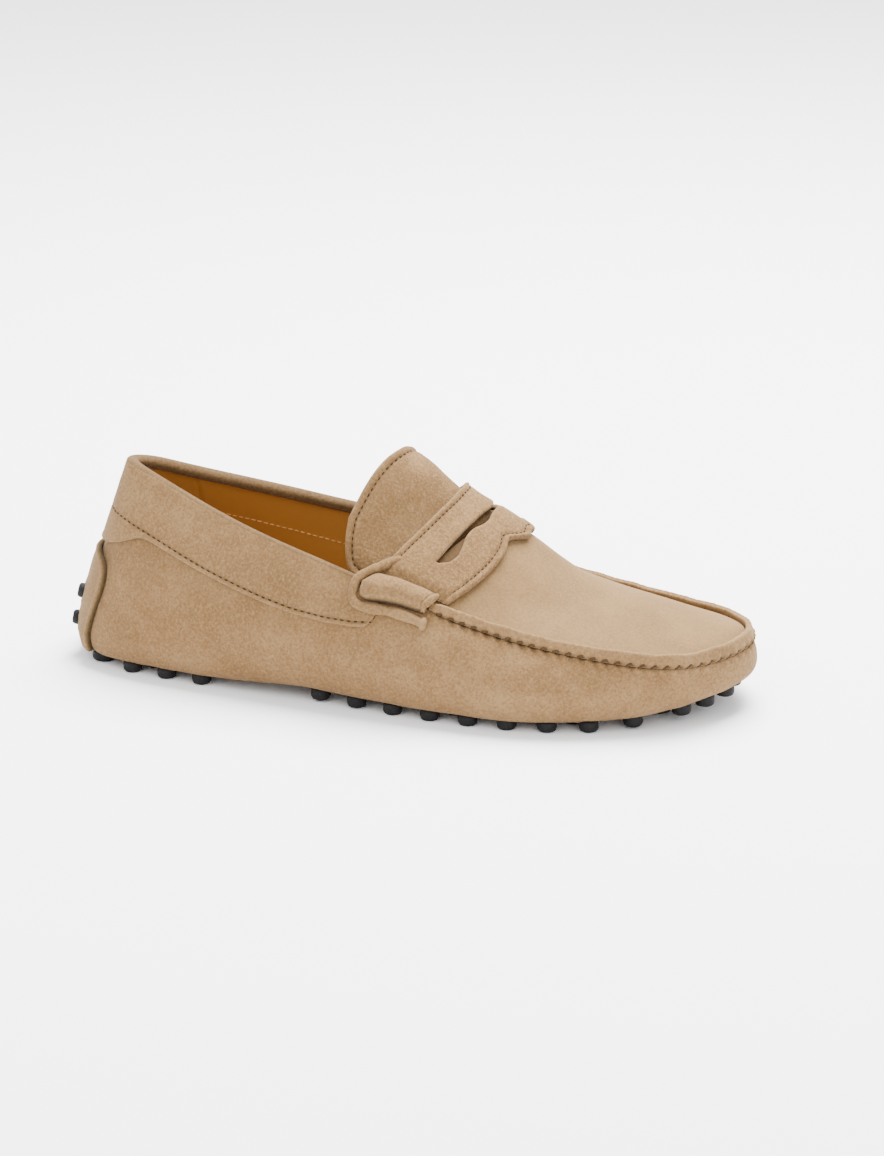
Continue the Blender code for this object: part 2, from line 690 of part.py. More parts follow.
def make_guard(material, rubber, where, cutters):
    """Guard on the heel back with its pebbles, which come through it from a plate behind."""
    raised = 2 * GAP + PLATE_WALL
    outer, inner = [], []
    levels = np.linspace(GUARD["top"].z, GUARD["bottom"].z, GUARD_ROWS)
    across = np.linspace(-1, 1, GUARD_ACROSS)
    for z in levels:
        for u in across:
            t, h = guard_place(u * guard_half(z), z)
            border = z in (levels[0], levels[-1]) or abs(u) == 1
            lift = EASE + (GAP if border else raised)
            inner.append(wall_offset(t, h, lift))
            outer.append(wall_offset(t, h, lift + GUARD_WALL))
    faces = grid_faces(len(levels), len(across))
    guard = patch("heel_panel", outer, inner, faces, material, where)

    outer, inner = [], []
    across = np.linspace(-BACK_PLATE_SHARE, BACK_PLATE_SHARE, BACK_PLATE_ACROSS)
    for z in BACK_PLATE_LEVELS:
        for u in across:
            t, h = guard_place(u * guard_half(z), z)
            inner.append(wall_offset(t, h, GAP))
            outer.append(wall_offset(t, h, GAP + PLATE_WALL))
    faces = grid_faces(len(BACK_PLATE_LEVELS), len(across))
    plate = patch("heel_back_studs", outer, inner, faces, rubber, where)
    for index, (y, z) in enumerate(BACK_PEBBLES):
        point, normal, _ = wall_frame(*guard_place(y, z))
        base = point + normal * (GAP + PLATE_WALL / 2)
        tip = point + normal * (EASE + raised + GUARD_WALL + BACK_PEBBLE_RISE)
        peg = frustum(f"back_pebble_{index}", base, tip, BACK_PEBBLE_RADIUS,
                      BACK_PEBBLE_RADIUS * 0.8, rubber, cutters)
        hole = frustum(f"back_hole_{index}", base - normal, tip + normal,
                       BACK_PEBBLE_RADIUS + GAP, BACK_PEBBLE_RADIUS + GAP, rubber, cutters)
        join(plate, peg, "UNION")
        join(guard, hole, "DIFFERENCE")
    return guard, plate


def frustum(name, base, tip, base_radius, tip_radius, material, where):
    """A round peg between two points."""
    bm = bmesh.new()
    length = np.linalg.norm(tip - base) * MM
    bmesh.ops.create_cone(bm, cap_ends=True, segments=PEBBLE_SIDES + 2, radius1=base_radius * MM,
                          radius2=tip_radius * MM, depth=length)
    obj = add_mesh(name, bm, material, where)
    start, end = place(base), place(tip)
    obj.location = (start + end) / 2
    obj.rotation_mode = "QUATERNION"
    obj.rotation_quaternion = Vector((0, 0, 1)).rotation_difference(end - start)
    obj.hide_render = True
    obj.display_type = "WIRE"
    return obj


def join(body, other, operation):
    """Add or cut another mesh."""
    boolean = body.modifiers.new(other.name, "BOOLEAN")
    boolean.operation = operation
    boolean.solver = "EXACT"
    boolean.object = other


def bottom_pairs(inset):
    """Outer and inner points of the bottom edge, heel to toe, moved in by inset."""
    pairs = []
    for column in range(HALF + 1):
        pairs.append((wall_point(PLACES[column], -inset),
                      wall_point(PLACES[(COUNT - column) % COUNT], -inset)))
    return pairs


def bottom_at(x, inset):
    """Outer and inner point of the bottom edge at a length along the shoe."""
    found = []
    for side in (0, 1):
        line = np.array([pair[side] for pair in bottom_pairs(inset)])
        y, z = (np.interp(x, line[:, 0], line[:, k]) for k in (1, 2))
        found.append(np.array((x, y, z)))
    return found


def bottom_height(x, y):
    """Height of the sole's lower face over a point of the floor, run on past its ends."""
    along, heights = [], []
    for outer, inner in bottom_pairs(TURN_IN)[1:-1]:
        part = (y - outer[1]) / (inner[1] - outer[1])
        along.append(outer[0] + (inner[0] - outer[0]) * part)
        heights.append(outer[2] + (inner[2] - outer[2]) * part)
    k = int(np.clip(np.searchsorted(along, x), 1, len(along) - 1))
    slope = (heights[k] - heights[k - 1]) / (along[k] - along[k - 1])
    return heights[k] + slope * (x - along[k])


def bottom_sheet(name, inset, lift, thickness, material, where, first=None, last=None):
    """A piece that follows the bottom of the shoe, all along it or up to a rounded end."""
    first = -LONG if first is None else first
    last = LONG if last is None else last
    pairs = [pair for pair in bottom_pairs(inset) if first < (pair[0][0] + pair[1][0]) / 2 < last]
    across = (0.0, 0.5, 1.0)
    points = []
    for outer, inner in pairs:
        middle = (outer[0] + inner[0]) / 2
        end = min(middle - first, last - middle)
        shrink = 0.5 * (1 - min(1.0, (end + 2) / END_LENGTH) ** 0.5)
        for part in across:
            part = shrink + part * (1 - 2 * shrink)
            x, y, _ = outer + (inner - outer) * part
            points.append(np.array((x, y, bottom_height(x, y) + lift)))
    bm = open_sheet(points, grid_faces(len(pairs), len(across)))
    obj = add_mesh(name, bm, material, where)
    solid = obj.modifiers.new("Wall", "SOLIDIFY")
    solid.thickness = thickness * MM
    solid.offset = -1.0
    return obj


def pebble_spots(first, last, toe):
    """Middles of the pebbles of one unit: staggered rows across, and arcs round the toe."""
    spots = []
    for row in range(int((last - first) / PEBBLE_ROW) + 1):
        x = first + row * PEBBLE_ROW
        outer, inner = bottom_at(x, PEBBLE_INSET)
        width = inner[1] - outer[1]
        gaps = max(round(width / PEBBLE_ACROSS), 1)
        fractions = [k / gaps for k in range(gaps + 1)]
        if row % 2:
            fractions = [(k + 0.5) / gaps for k in range(gaps)]
        for part in fractions:
            spots.append(outer + (inner - outer) * part)
    for inset, count in toe:
        starts = [find(lambda t: wall_point(t, -inset)[0], last + PEBBLE_ROW, *ends)
                  for ends in ((0.3, TIP_AT), (0.75, TIP_AT))]
        places = spread(lambda t: wall_point(t, -inset), *starts, count - 1)
        spots += [wall_point(t, -inset) for t in places]
    kept = []
    for spot in spots:
        if all(np.linalg.norm(spot[:2] - other[:2]) > PEBBLE_CLEAR for other in kept):
            kept.append(spot)
    return kept


def make_unit(name, reach, toe, material, where, cutters):
    """A rubber unit: thin plate under the suede with its pebbles."""
    first, last = reach
    plate = bottom_sheet(name, PLATE_INSET, -GAP - EASE - PLATE_WALL, PLATE_WALL, material, where,
                         first - PLATE_REACH if toe else None,
                         None if toe else last + PLATE_REACH)
    bm = bmesh.new()
    for spot in pebble_spots(first, last, toe):
        height = bottom_height(spot[0], spot[1])
        top = height - GAP - EASE - PLATE_WALL / 2
        ground = max(0.0, height - BOTTOM - FLAT_TOLERANCE)
        made = bmesh.ops.create_cone(bm, cap_ends=True, segments=PEBBLE_SIDES,
                                     radius1=PEBBLE_TIP * MM, radius2=PEBBLE_RADIUS * MM,
                                     depth=(top - ground) * MM)
        middle = place((spot[0], spot[1], (top + ground) / 2))
        bmesh.ops.translate(bm, verts=made["verts"], vec=middle)
    pebbles = add_mesh(f"{name}_pebbles", bm, material, cutters)
    pebbles.hide_render = True
    pebbles.display_type = "WIRE"
    join(plate, pebbles, "UNION")
    return plate


def main():
    """Build the shoe."""
    clear_scene()
    shoe = collection(NAME)
    cutters = collection("cutters")
    suede = finish("suede", SUEDE, 0.9)
    make_upper(suede, shoe)
    make_tongue(finish("tongue_suede", SUEDE, 0.9), shoe)
    make_strap(finish("strap_suede", SUEDE_EDGE, 0.9), shoe)
    make_collar(finish("band_suede", SUEDE_EDGE, 0.9), shoe)
    make_seam(finish("seam_suede", SUEDE_EDGE, 0.9), shoe)
    make_roll("strap_roll_lateral", -1, finish("roll_suede_out", SUEDE, 0.9), shoe)
    make_roll("strap_roll_medial", 1, finish("roll_suede_in", SUEDE, 0.9), shoe)
    make_guard(finish("guard_suede", SUEDE_EDGE, 0.9), finish("back_rubber", RUBBER_BLACK, 0.6),
               shoe, cutters)
    bottom_sheet("sole", TURN_IN + GAP, 0.0, SOLE_WALL,
                 finish("sole_suede", SUEDE, 0.9), shoe)
    bottom_sheet("insole", INSOLE_INSET, SOLE_WALL + GAP + EASE, INSOLE_WALL,
                 finish("sock_leather", LINING_TAN, 0.5), shoe)
    make_unit("heel_studs", HEEL_UNIT, (), finish("heel_rubber", RUBBER_BLACK, 0.6),
              shoe, cutters)
    make_unit("forefoot_studs", FOREFOOT_UNIT, TOE_ARCS, finish("fore_rubber", RUBBER_BLACK, 0.6),
              shoe, cutters)


main()
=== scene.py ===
"""Looks of a driving moccasin, a right shoe in sand suede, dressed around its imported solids.

Shapes are worked out on a last maker's sheet in millimetres: x from the back of the heel, y from the
middle of the last towards the inner side of the foot, z from the floor. Each mesh is then moved into
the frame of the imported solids, whose origin lies on the floor under the middle of the shoe's box.
"""

from __future__ import annotations

import logging
from dataclasses import dataclass, field
from enum import Enum
from math import cos, pi, radians, sin
from typing import NamedTuple, Sequence

import bpy
import numpy as np
from mathutils import Matrix, Vector
from mathutils.kdtree import KDTree

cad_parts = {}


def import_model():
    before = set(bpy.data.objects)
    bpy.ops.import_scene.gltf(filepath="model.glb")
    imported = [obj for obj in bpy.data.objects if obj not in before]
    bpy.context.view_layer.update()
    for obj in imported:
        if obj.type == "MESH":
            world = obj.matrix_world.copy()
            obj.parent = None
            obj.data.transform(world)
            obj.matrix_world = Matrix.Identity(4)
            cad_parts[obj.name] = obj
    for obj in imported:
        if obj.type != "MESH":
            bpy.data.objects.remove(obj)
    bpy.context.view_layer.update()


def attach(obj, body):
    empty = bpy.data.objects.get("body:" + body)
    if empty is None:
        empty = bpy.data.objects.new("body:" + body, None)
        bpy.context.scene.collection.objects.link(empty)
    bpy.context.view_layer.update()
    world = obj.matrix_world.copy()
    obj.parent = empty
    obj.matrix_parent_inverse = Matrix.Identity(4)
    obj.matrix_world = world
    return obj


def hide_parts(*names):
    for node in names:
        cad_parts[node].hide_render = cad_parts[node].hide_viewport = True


LOG = logging.getLogger("moccasin")
Array = np.ndarray

MM = 0.001
BODY = "root"
BOX_MIDDLE = np.array((136.6, -2.0, 0.0))    # middle of the shoe's box on the sheet
INSIDE = np.array((140.0, 0.0, 22.0))        # a point inside the shoe

UPPER_WALL = 2.0
GAP = 0.45                                   # between two skins that lie over each other
GIRTH_AT = 0.40                              # share of the wall's height that lies below its girth


class WallRow(NamedTuple):
    """Wall round the shoe: girth's plan and height, inset and height of the feather, top edge."""

    x: float
    y: float
    girth: float
    inset: float
    feather: float
    top_x: float
    top_y: float
    top: float
    belly: float


WALL = {
    "heel back": WallRow(0, 0, 10, 3, 4.9, 20, 0, 81.2, 1.25),
    "heel corner out": WallRow(11, -24.5, 14, 3.5, 4.8, 26.5, -7.8, 80.2, 1.3),
    "heel side out": WallRow(38, -35, 20, 4.5, 4.8, 42, -14.8, 76.0, 1.5),
    "quarter out": WallRow(75, -40.5, 21, 5.0, 5.3, 77, -27, 65.6, 1.8),
    "waist out": WallRow(104, -44.5, 20, 6.5, 6.0, 106, -34, 58.4, 2.0),
    "throat out": WallRow(134, -49, 20, 6, 5.2, 132, -39.2, 52.0, 2.0),
    "joint out": WallRow(176, -52.5, 18, 5, 4.8, 172, -41.6, 40.3, 2.0),
    "forepart out": WallRow(222, -46.8, 16, 5.5, 5.0, 216, -41.2, 31.9, 2.0),
    "toe corner out": WallRow(250, -32.5, 16, 6.5, 6.9, 248.5, -32.0, 27.2, 2.0),
    "toe side out": WallRow(267.5, -16.5, 17, 6.5, 9.4, 266, -17.2, 26.5, 2.0),
    "toe tip": WallRow(277.6, 6, 18, 6, 11.6, 275.2, 5, 27.3, 2.0),
    "toe side in": WallRow(270, 27, 18, 7, 10.5, 267, 25.5, 26.2, 2.0),
    "toe corner in": WallRow(250, 42, 17, 8, 8.0, 245, 36, 27.6, 2.0),
    "joint in": WallRow(212, 48.5, 17, 9, 5.0, 208, 38.5, 33.4, 2.0),
    "waist front in": WallRow(165, 43.5, 19, 10, 5.6, 166, 38.5, 43.4, 2.0),
    "throat in": WallRow(132, 38.5, 21, 9, 7.8, 132, 36, 53.6, 2.0),
    "waist in": WallRow(100, 36.5, 23, 8, 8.6, 103, 31.5, 59.8, 1.8),
    "quarter in": WallRow(70, 36.5, 22, 6, 6.4, 75, 25.6, 66.2, 1.7),
    "heel side in": WallRow(38, 34, 20, 4.5, 4.8, 42, 14.8, 74.8, 1.5),
    "heel corner in": WallRow(11, 24, 14, 3.5, 4.8, 26.5, 7.8, 79.5, 1.3),
}


class InstepRow(NamedTuple):
    """Section over the instep: where it meets the wall's top edge, its crest, its bow and crown."""

    edge_x: float
    x: float
    y: float
    z: float
    bow: float
    crown: float


INSTEP = {
    "tongue top": InstepRow(106, 137.4, 0, 99.0, 2.2, 2.8),
    "strap back": InstepRow(122, 158, 5, 79.4, 1.6, 2.0),
    "throat": InstepRow(143, 172, 6, 70.3, 1.6, 2.0),
    "strap front": InstepRow(163, 187, 8, 60.2, 1.6, 2.0),
    "joint": InstepRow(188, 206, 9.5, 47.6, 1.6, 1.9),
    "forepart": InstepRow(212, 226, 10.5, 40.5, 1.5, 1.85),
    "toe cap": InstepRow(235, 245, 10, 36.7, 1.5, 1.8),
    "toe": InstepRow(256, 259, 8, 34.4, 1.3, 1.9),
    "tip": InstepRow(np.nan, 268, 6.5, 32.9, 1.0, 2.0),
}
THROAT = 2.0                                 # row where the apron starts
TIP_ROW = 8.0


class Side(Enum):
    """The two sides of the foot."""

    OUTER = -1
    INNER = 1


def unit(vectors: Array) -> Array:
    """Vectors at length 1."""
    return vectors / np.maximum(np.linalg.norm(vectors, axis=-1, keepdims=True), 1e-12)


def outwards(points: Array, normals: Array) -> Array:
    """Normals turned to point away from the inside of the shoe."""
    facing = ((points - INSIDE) * normals).sum(-1, keepdims=True)
    return normals * np.where(facing < 0, -1.0, 1.0)


def rows_of(table: dict[str, tuple]) -> Array:
    """Rows of a named table as numbers."""
    return np.array([tuple(row) for row in table.values()], float)


def graded(count: int, grip: float = 0.8) -> Array:
    """Steps from 0 to 1 that lie closer together at both ends."""
    even = np.linspace(0, 1, count)
    return even - grip * np.sin(2 * pi * even) / (2 * pi)


def drift(points: Array, wavelength: float, seed: int, waves: int = 12) -> Array:
    """Smooth wandering values over the points, about -1 to 1.

    Args:
        points: Points on the sheet, in millimetres.
        wavelength: Usual size of a swell, in millimetres.
        seed: Seed of the waves' directions.
        waves: How many waves are added up.

    Returns:
        One value per point.
    """
    rng = np.random.default_rng(seed)
    directions = unit(rng.normal(size=(waves, 3)))
    lengths = wavelength * rng.uniform(0.7, 1.6, waves)
    phases = rng.uniform(0, 2 * pi, waves)
    total = np.zeros(points.shape[:-1])
    for direction, length, phase in zip(directions, lengths, phases):
        total += np.sin(points @ direction * 2 * pi / length + phase)
    return total / np.sqrt(waves / 2)


def uneven(points: Array, seed: int, *swells: tuple[float, float]) -> Array:
    """Hand-made unevenness of a skin.

    Args:
        points: Points on the sheet.
        seed: Seed of the first swell. Each later one has the next number.
        swells: Depth and wavelength of each swell.

    Returns:
        One height per point.
    """
    return sum(depth * drift(points, wave, seed + k) for k, (depth, wave) in enumerate(swells))


def hump(distance: Array, width: float) -> Array:
    """A soft bell, 1 at distance 0."""
    return np.exp(-(distance / width) ** 2)


def soft_step(value: Array, low: float, high: float) -> Array:
    """Smooth rise from 0 at low to 1 at high."""
    part = np.clip((np.asarray(value, float) - low) / (high - low), 0, 1)
    return part * part * (3 - 2 * part)


def smoothed(line: Array, passes: int) -> Array:
    """A line of numbers with its corners worn round, its ends kept.

    Args:
        line: Numbers or points in order.
        passes: How often the mean of three neighbours is taken.

    Returns:
        The line, as long as before.
    """
    line = np.asarray(line, float)
    for _ in range(passes):
        line = np.concatenate([line[:1], (line[:-2] + line[1:-1] + line[2:]) / 3, line[-1:]])
    return line


class Spline:
    """Smooth cubic through rows of numbers; closed when it has one knot more than rows."""

    def __init__(self, knots: Array, values: Array) -> None:
        self.knots = np.asarray(knots, float)
        self.values = np.asarray(values, float)
        self.closed = len(self.knots) == len(self.values) + 1
        self.bend = self._second_slopes()

    def _second_slopes(self) -> Array:
        """Second derivatives at the knots.

        Returns:
            One row for each row of values.
        """
        n = len(self.values)
        step = np.diff(self.knots)
        matrix = np.zeros((n, n))
        right = np.zeros(self.values.shape)
        for i in range(n):
            if not self.closed and i in (0, n - 1):
                matrix[i, i] = 1.0
                continue
            before, after = step[i - 1], step[i]
            nxt = (i + 1) % n
            matrix[i, i - 1] += before
            matrix[i, i] += 2 * (before + after)
            matrix[i, nxt] += after
            rise = (self.values[nxt] - self.values[i]) / after
            right[i] = 6 * (rise - (self.values[i] - self.values[i - 1]) / before)
        return np.linalg.solve(matrix, right)

    def __call__(self, at: Array) -> Array:
        """Rows at the given places, one more axis than the places have.

        Args:
            at: Places on the scale of the knots.

        Returns:
            One row of numbers for each place.
        """
        at = np.asarray(at, float)
        if self.closed:
            at = at % self.knots[-1]
        k = np.clip(np.searchsorted(self.knots, at, side="right") - 1, 0, len(self.knots) - 2)
        nxt = (k + 1) % len(self.values)
        step = (self.knots[k + 1] - self.knots[k])[..., None]
        a = (self.knots[k + 1] - at)[..., None] / step
        b = 1 - a
        bend = (a ** 3 - a) * self.bend[k] + (b ** 3 - b) * self.bend[nxt]
        return a * self.values[k] + b * self.values[nxt] + bend * step ** 2 / 6


class Last:
    """The form that every skin of the shoe lies on: a wall round the foot and the instep over it."""

    def __init__(self) -> None:
        rows = rows_of(WALL)
        plan = rows[:, :2]
        steps = np.linalg.norm(np.roll(plan, -1, axis=0) - plan, axis=1)
        knots = np.concatenate([[0.0], np.cumsum(steps)]) / steps.sum()
        self.rows = Spline(knots, rows)
        self.tip_at = knots[list(WALL).index("toe tip")]
        self._places = np.linspace(0, 1, 6001)
        self._top_x = self.rows(self._places)[:, 5]
        sections = rows_of(INSTEP)
        numbers = np.arange(len(sections), dtype=float)
        self.crest = Spline(numbers, sections[:, 1:])
        self.ends = {}
        for side in Side:
            places = np.append(self.side_at(sections[:-1, 0], side), self.tip_at)
            self.ends[side] = Spline(numbers, places[:, None])

    def side_at(self, top_x: Array, side: Side) -> Array:
        """Place round the wall where its top edge is at top_x.

        Args:
            top_x: Where the top edge is, along the sheet.
            side: Side of the foot.

        Returns:
            Places from 0 to 1.
        """
        if side is Side.OUTER:
            there = self._places <= self.tip_at
            return np.interp(top_x, self._top_x[there], self._places[there])
        there = self._places >= self.tip_at
        return np.interp(top_x, self._top_x[there][::-1], self._places[there][::-1])

    def row(self, t: Array) -> WallRow:
        """The wall's measures at places round the shoe."""
        return WallRow(*np.moveaxis(self.rows(t), -1, 0))

    def wall(self, t: Array, h: Array) -> Array:
        """Points of the wall.

        Args:
            t: Place once round the shoe, 0 at the heel back, rising along the outer side.
            h: 0 at the bottom edge, 1 at the top edge. Below 0 it is turned in under the foot by
                that many millimetres.

        Returns:
            Points on the sheet.
        """
        t, h = np.broadcast_arrays(np.asarray(t, float), np.asarray(h, float))
        row = self.row(t)
        ahead = self.rows(t + 0.002)[..., :2] - self.rows(t - 0.002)[..., :2]
        out = unit(np.stack([ahead[..., 1], -ahead[..., 0]], -1))
        angle = np.clip(h, 0, GIRTH_AT) / GIRTH_AT * pi / 2
        inside = row.inset * (1 - np.sin(angle)) + np.maximum(-h, 0)
        low = np.stack([row.x - out[..., 0] * inside, row.y - out[..., 1] * inside,
                        row.girth - (row.girth - row.feather) * np.cos(angle)], -1)
        rise = np.maximum(h - GIRTH_AT, 0) / (1 - GIRTH_AT)
        lean = rise ** row.belly
        high = np.stack([row.x + (row.top_x - row.x) * lean, row.y + (row.top_y - row.y) * lean,
                         row.girth + (row.top - row.girth) * rise], -1)
        return np.where((h < GIRTH_AT)[..., None], low, high)

    def wall_frame(self, t: Array, h: Array) -> tuple[Array, Array, Array]:
        """Points of the wall with their outward normals and upward directions.

        Args:
            t: Place once round the shoe.
            h: 0 at the bottom edge, 1 at the top edge.

        Returns:
            Points, normals and upward directions.
        """
        up = unit(self.wall(t, np.minimum(h + 0.01, 1.0)) - self.wall(t, np.maximum(h - 0.01, 0.0)))
        along = unit(self.wall(t + 0.001, h) - self.wall(t - 0.001, h))
        point = self.wall(t, h)
        return point, outwards(point, unit(np.cross(along, up))), up

    def height(self, t: Array, z: Array) -> Array:
        """h where the wall above its girth is at the height z."""
        row = self.row(t)
        return GIRTH_AT + (1 - GIRTH_AT) * (z - row.girth) / (row.top - row.girth)

    def edge(self, s: Array, side: Side) -> Array:
        """Place round the wall where a section of the instep ends."""
        return self.ends[side](s)[..., 0]

    def instep(self, s: Array, v: Array) -> Array:
        """Points of the instep.

        Args:
            s: Place along it, in rows of its table.
            v: Place across it, from -1 at the outer end to 1 at the inner end.

        Returns:
            Points on the sheet.
        """
        s, v = np.broadcast_arrays(np.asarray(s, float), np.asarray(v, float))
        x, y, z, bow, crown = np.moveaxis(self.crest(s), -1, 0)
        t = np.where(v < 0, self.edge(s, Side.OUTER), self.edge(s, Side.INNER))
        edge = self.row(t)
        reach = np.abs(v)
        return np.stack([x + (edge.top_x - x) * reach ** bow, y + (edge.top_y - y) * reach,
                         edge.top + (z - edge.top) * (1 - reach ** crown)], -1)

    def over_edge(self, top_x: Array, side: Side, down: Array) -> Array:
        """Points near the top edge.

        Args:
            top_x: Where the top edge is, along the sheet.
            side: Side of the foot.
            down: Millimetres down the wall, or up the instep if below 0.

        Returns:
            Points on the sheet.
        """
        top_x, down = np.broadcast_arrays(np.asarray(top_x, float), np.asarray(down, float))
        t = self.side_at(top_x, side)
        numbers = np.linspace(0, TIP_ROW - 1, 1401)
        s = np.interp(top_x, self.row(self.edge(numbers, side)).top_x, numbers)
        low = self.wall(t, self.height(t, self.row(t).top - np.maximum(down, 0)))
        length = np.linalg.norm(self.instep(s, 0.0) - self.instep(s, side.value), axis=-1)
        high = self.instep(s, side.value * (1 + np.minimum(down, 0) / length))
        return np.where((down > 0)[..., None], low, high)


LAST = Last()


def grid_normals(points: Array, wrap: bool = False) -> Array:
    """Unit normals of a grid of points, pointing away from the inside of the shoe.

    Args:
        points: Rows and columns of points.
        wrap: True where the last column joins the first.

    Returns:
        One normal for each point.
    """
    along_rows = np.gradient(points, axis=0)
    if wrap:
        across = (np.roll(points, -1, 1) - np.roll(points, 1, 1)) / 2
    else:
        across = np.gradient(points, axis=1)
    normal = unit(np.cross(along_rows, across))
    if ((points - INSIDE) * normal).sum() < 0:
        normal = -normal
    return normal


def run_along(points: Array, axis: int) -> Array:
    """Running length along one axis of a grid of points.

    Args:
        points: Rows and columns of points.
        axis: 0 down the columns, 1 along the rows.

    Returns:
        One length for each point, from 0.
    """
    steps = np.linalg.norm(np.diff(points, axis=axis), axis=-1)
    start = np.zeros_like(np.take(steps, [0], axis=axis))
    return np.concatenate([start, np.cumsum(steps, axis=axis)], axis=axis)


def from_sides(points: Array) -> Array:
    """Distance of each point of a grid from the nearer end of its row."""
    run = run_along(points, 1)
    return np.minimum(run, run[:, -1:] - run)


def at_height(plan: Array, height: Array) -> Array:
    """Points of a plan at the given heights."""
    return np.concatenate([plan[..., :2], height[..., None]], -1)


def sample(grid: Array, places: Array) -> Array:
    """Values of a grid between its points.

    Args:
        grid: Values on a grid, with any last axis.
        places: Row and column numbers, with fractions.

    Returns:
        One value or vector for each place.
    """
    r = np.clip(places[:, 0], 0, grid.shape[0] - 1.000001)
    c = np.clip(places[:, 1], 0, grid.shape[1] - 1.000001)
    r0, c0 = r.astype(int), c.astype(int)
    shape = (-1,) + (1,) * (grid.ndim - 2)
    fr, fc = (r - r0).reshape(shape), (c - c0).reshape(shape)
    low = grid[r0, c0] * (1 - fc) + grid[r0, c0 + 1] * fc
    high = grid[r0 + 1, c0] * (1 - fc) + grid[r0 + 1, c0 + 1] * fc
    return low * (1 - fr) + high * fr


def spaced(line: Array, pitch: float) -> Array:
    """Fractions of a line's index at which its points lie a pitch apart, as an array.

    Args:
        line: Points in order.
        pitch: Distance wanted, in millimetres.

    Returns:
        Indices with fractions.
    """
    run = np.concatenate([[0], np.cumsum(np.linalg.norm(np.diff(line, axis=0), axis=1))])
    count = max(int(run[-1] / pitch), 1)
    return np.interp((np.arange(count) + 0.5) * run[-1] / count, run, np.arange(len(line)))


def pick(line: Array, places: Array) -> Array:
    """Points of a line at fractional indices.

    Args:
        line: Points in order.
        places: Indices with fractions.

    Returns:
        One point for each place.
    """
    low = np.clip(places.astype(int), 0, len(line) - 2)
    part = (places - low)[:, None]
    return line[low] * (1 - part) + line[low + 1] * part


def mesh_object(name: str, points: Array, faces: Array, finish: Finish,
                marks: dict[str, Array] | None = None) -> bpy.types.Object:
    """A smooth mesh object that rides on the shoe.

    Args:
        name: Name of the piece.
        points: Vertices on the sheet.
        faces: Vertex numbers, all faces with the same count of corners.
        finish: What it is made of.
        marks: Values per vertex that its material reads, by name.

    Returns:
        The object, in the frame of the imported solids.
    """
    corners = points[faces]
    fan = [(0, k, k + 1) for k in range(1, faces.shape[1] - 1)]
    volume = sum((corners[:, a] * np.cross(corners[:, b], corners[:, c])).sum() for a, b, c in fan)
    if volume < 0:
        faces = faces[:, ::-1]
    mesh = bpy.data.meshes.new(name)
    mesh.vertices.add(len(points))
    mesh.vertices.foreach_set("co", ((points - BOX_MIDDLE) * MM).astype(np.float32).ravel())
    mesh.loops.add(faces.size)
    mesh.loops.foreach_set("vertex_index", np.ascontiguousarray(faces).astype(np.int32).ravel())
    mesh.polygons.add(len(faces))
    mesh.polygons.foreach_set("loop_start", np.arange(0, faces.size, faces.shape[1], dtype=np.int32))
    mesh.update(calc_edges=True)
    mesh.validate()
    mesh.shade_smooth()
    for key, values in (marks or {}).items():
        mark = mesh.attributes.new(key, "FLOAT", "POINT")
        mark.data.foreach_set("value", np.asarray(values, np.float32).ravel())
    mesh.materials.append(finish.material())
    piece = bpy.data.objects.new(name, mesh)
    bpy.context.scene.collection.objects.link(piece)
    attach(piece, BODY)
    LOG.info("%s: %d vertices, %d faces", name, len(points), len(faces))
    return piece


def border_edges(cells: Array, wrap: bool) -> Array:
    """Edges of the cells that have no neighbour.

    Args:
        cells: Which cells of the grid have a face.
        wrap: True where the last column joins the first.

    Returns:
        Pairs of vertex numbers, counted along the rows.
    """
    rows, columns = cells.shape
    across = columns if wrap else columns + 1
    number = np.arange((rows + 1) * across).reshape(rows + 1, across)
    a, b = number[:-1, :columns], number[:-1, (np.arange(columns) + 1) % across]
    d, c = number[1:, :columns], number[1:, (np.arange(columns) + 1) % across]
    empty = np.zeros((1, columns), bool)
    below = np.concatenate([empty, cells[:-1]])
    above = np.concatenate([cells[1:], empty])
    if wrap:
        left, right = np.roll(cells, 1, 1), np.roll(cells, -1, 1)
    else:
        side = np.zeros((rows, 1), bool)
        left, right = np.hstack([side, cells[:, :-1]]), np.hstack([cells[:, 1:], side])
    found = []
    for start, end, other in ((a, b, below), (b, c, right), (c, d, above), (d, a, left)):
        bare = cells & ~other
        found.append(np.stack([start[bare], end[bare]], -1))
    return np.concatenate(found)


def every_cell(points: Array, wrap: bool = False) -> Array:
    """All cells of a grid of points."""
    rows, columns = points.shape[:2]
    return np.ones((rows - 1, columns if wrap else columns - 1), bool)


def nearest(dots: Array, points: Array) -> Array:
    """Distance of each point from the nearest dot.

    Args:
        dots: Points to measure from.
        points: Points to measure at.

    Returns:
        One distance for each point.
    """
    tree = KDTree(len(dots))
    for number, dot in enumerate(dots):
        tree.insert(dot, number)
    tree.balance()
    return np.array([tree.find(point)[2] for point in points.reshape(-1, 3)]).reshape(points.shape[:-1])


def border_distance(points: Array, cells: Array | None = None) -> Array:
    """Distance of each point of a grid from the borders of its cells.

    Args:
        points: Rows and columns of points.
        cells: Which cells have a face; all of them if left out.

    Returns:
        One distance for each point.
    """
    edges = border_edges(every_cell(points) if cells is None else cells, False)
    ends = points.reshape(-1, 3)[edges]
    parts = np.linspace(0, 1, 4, endpoint=False)[:, None, None]
    return nearest((ends[:, 0] * (1 - parts) + ends[:, 1] * parts).reshape(-1, 3), points)


def round_over(distance: Array, radius: float) -> Array:
    """How far a skin falls towards its cut edge."""
    near = np.clip(1 - distance / radius, 0, 1)
    return radius * (1 - np.sqrt(np.maximum(1 - near * near, 0)))


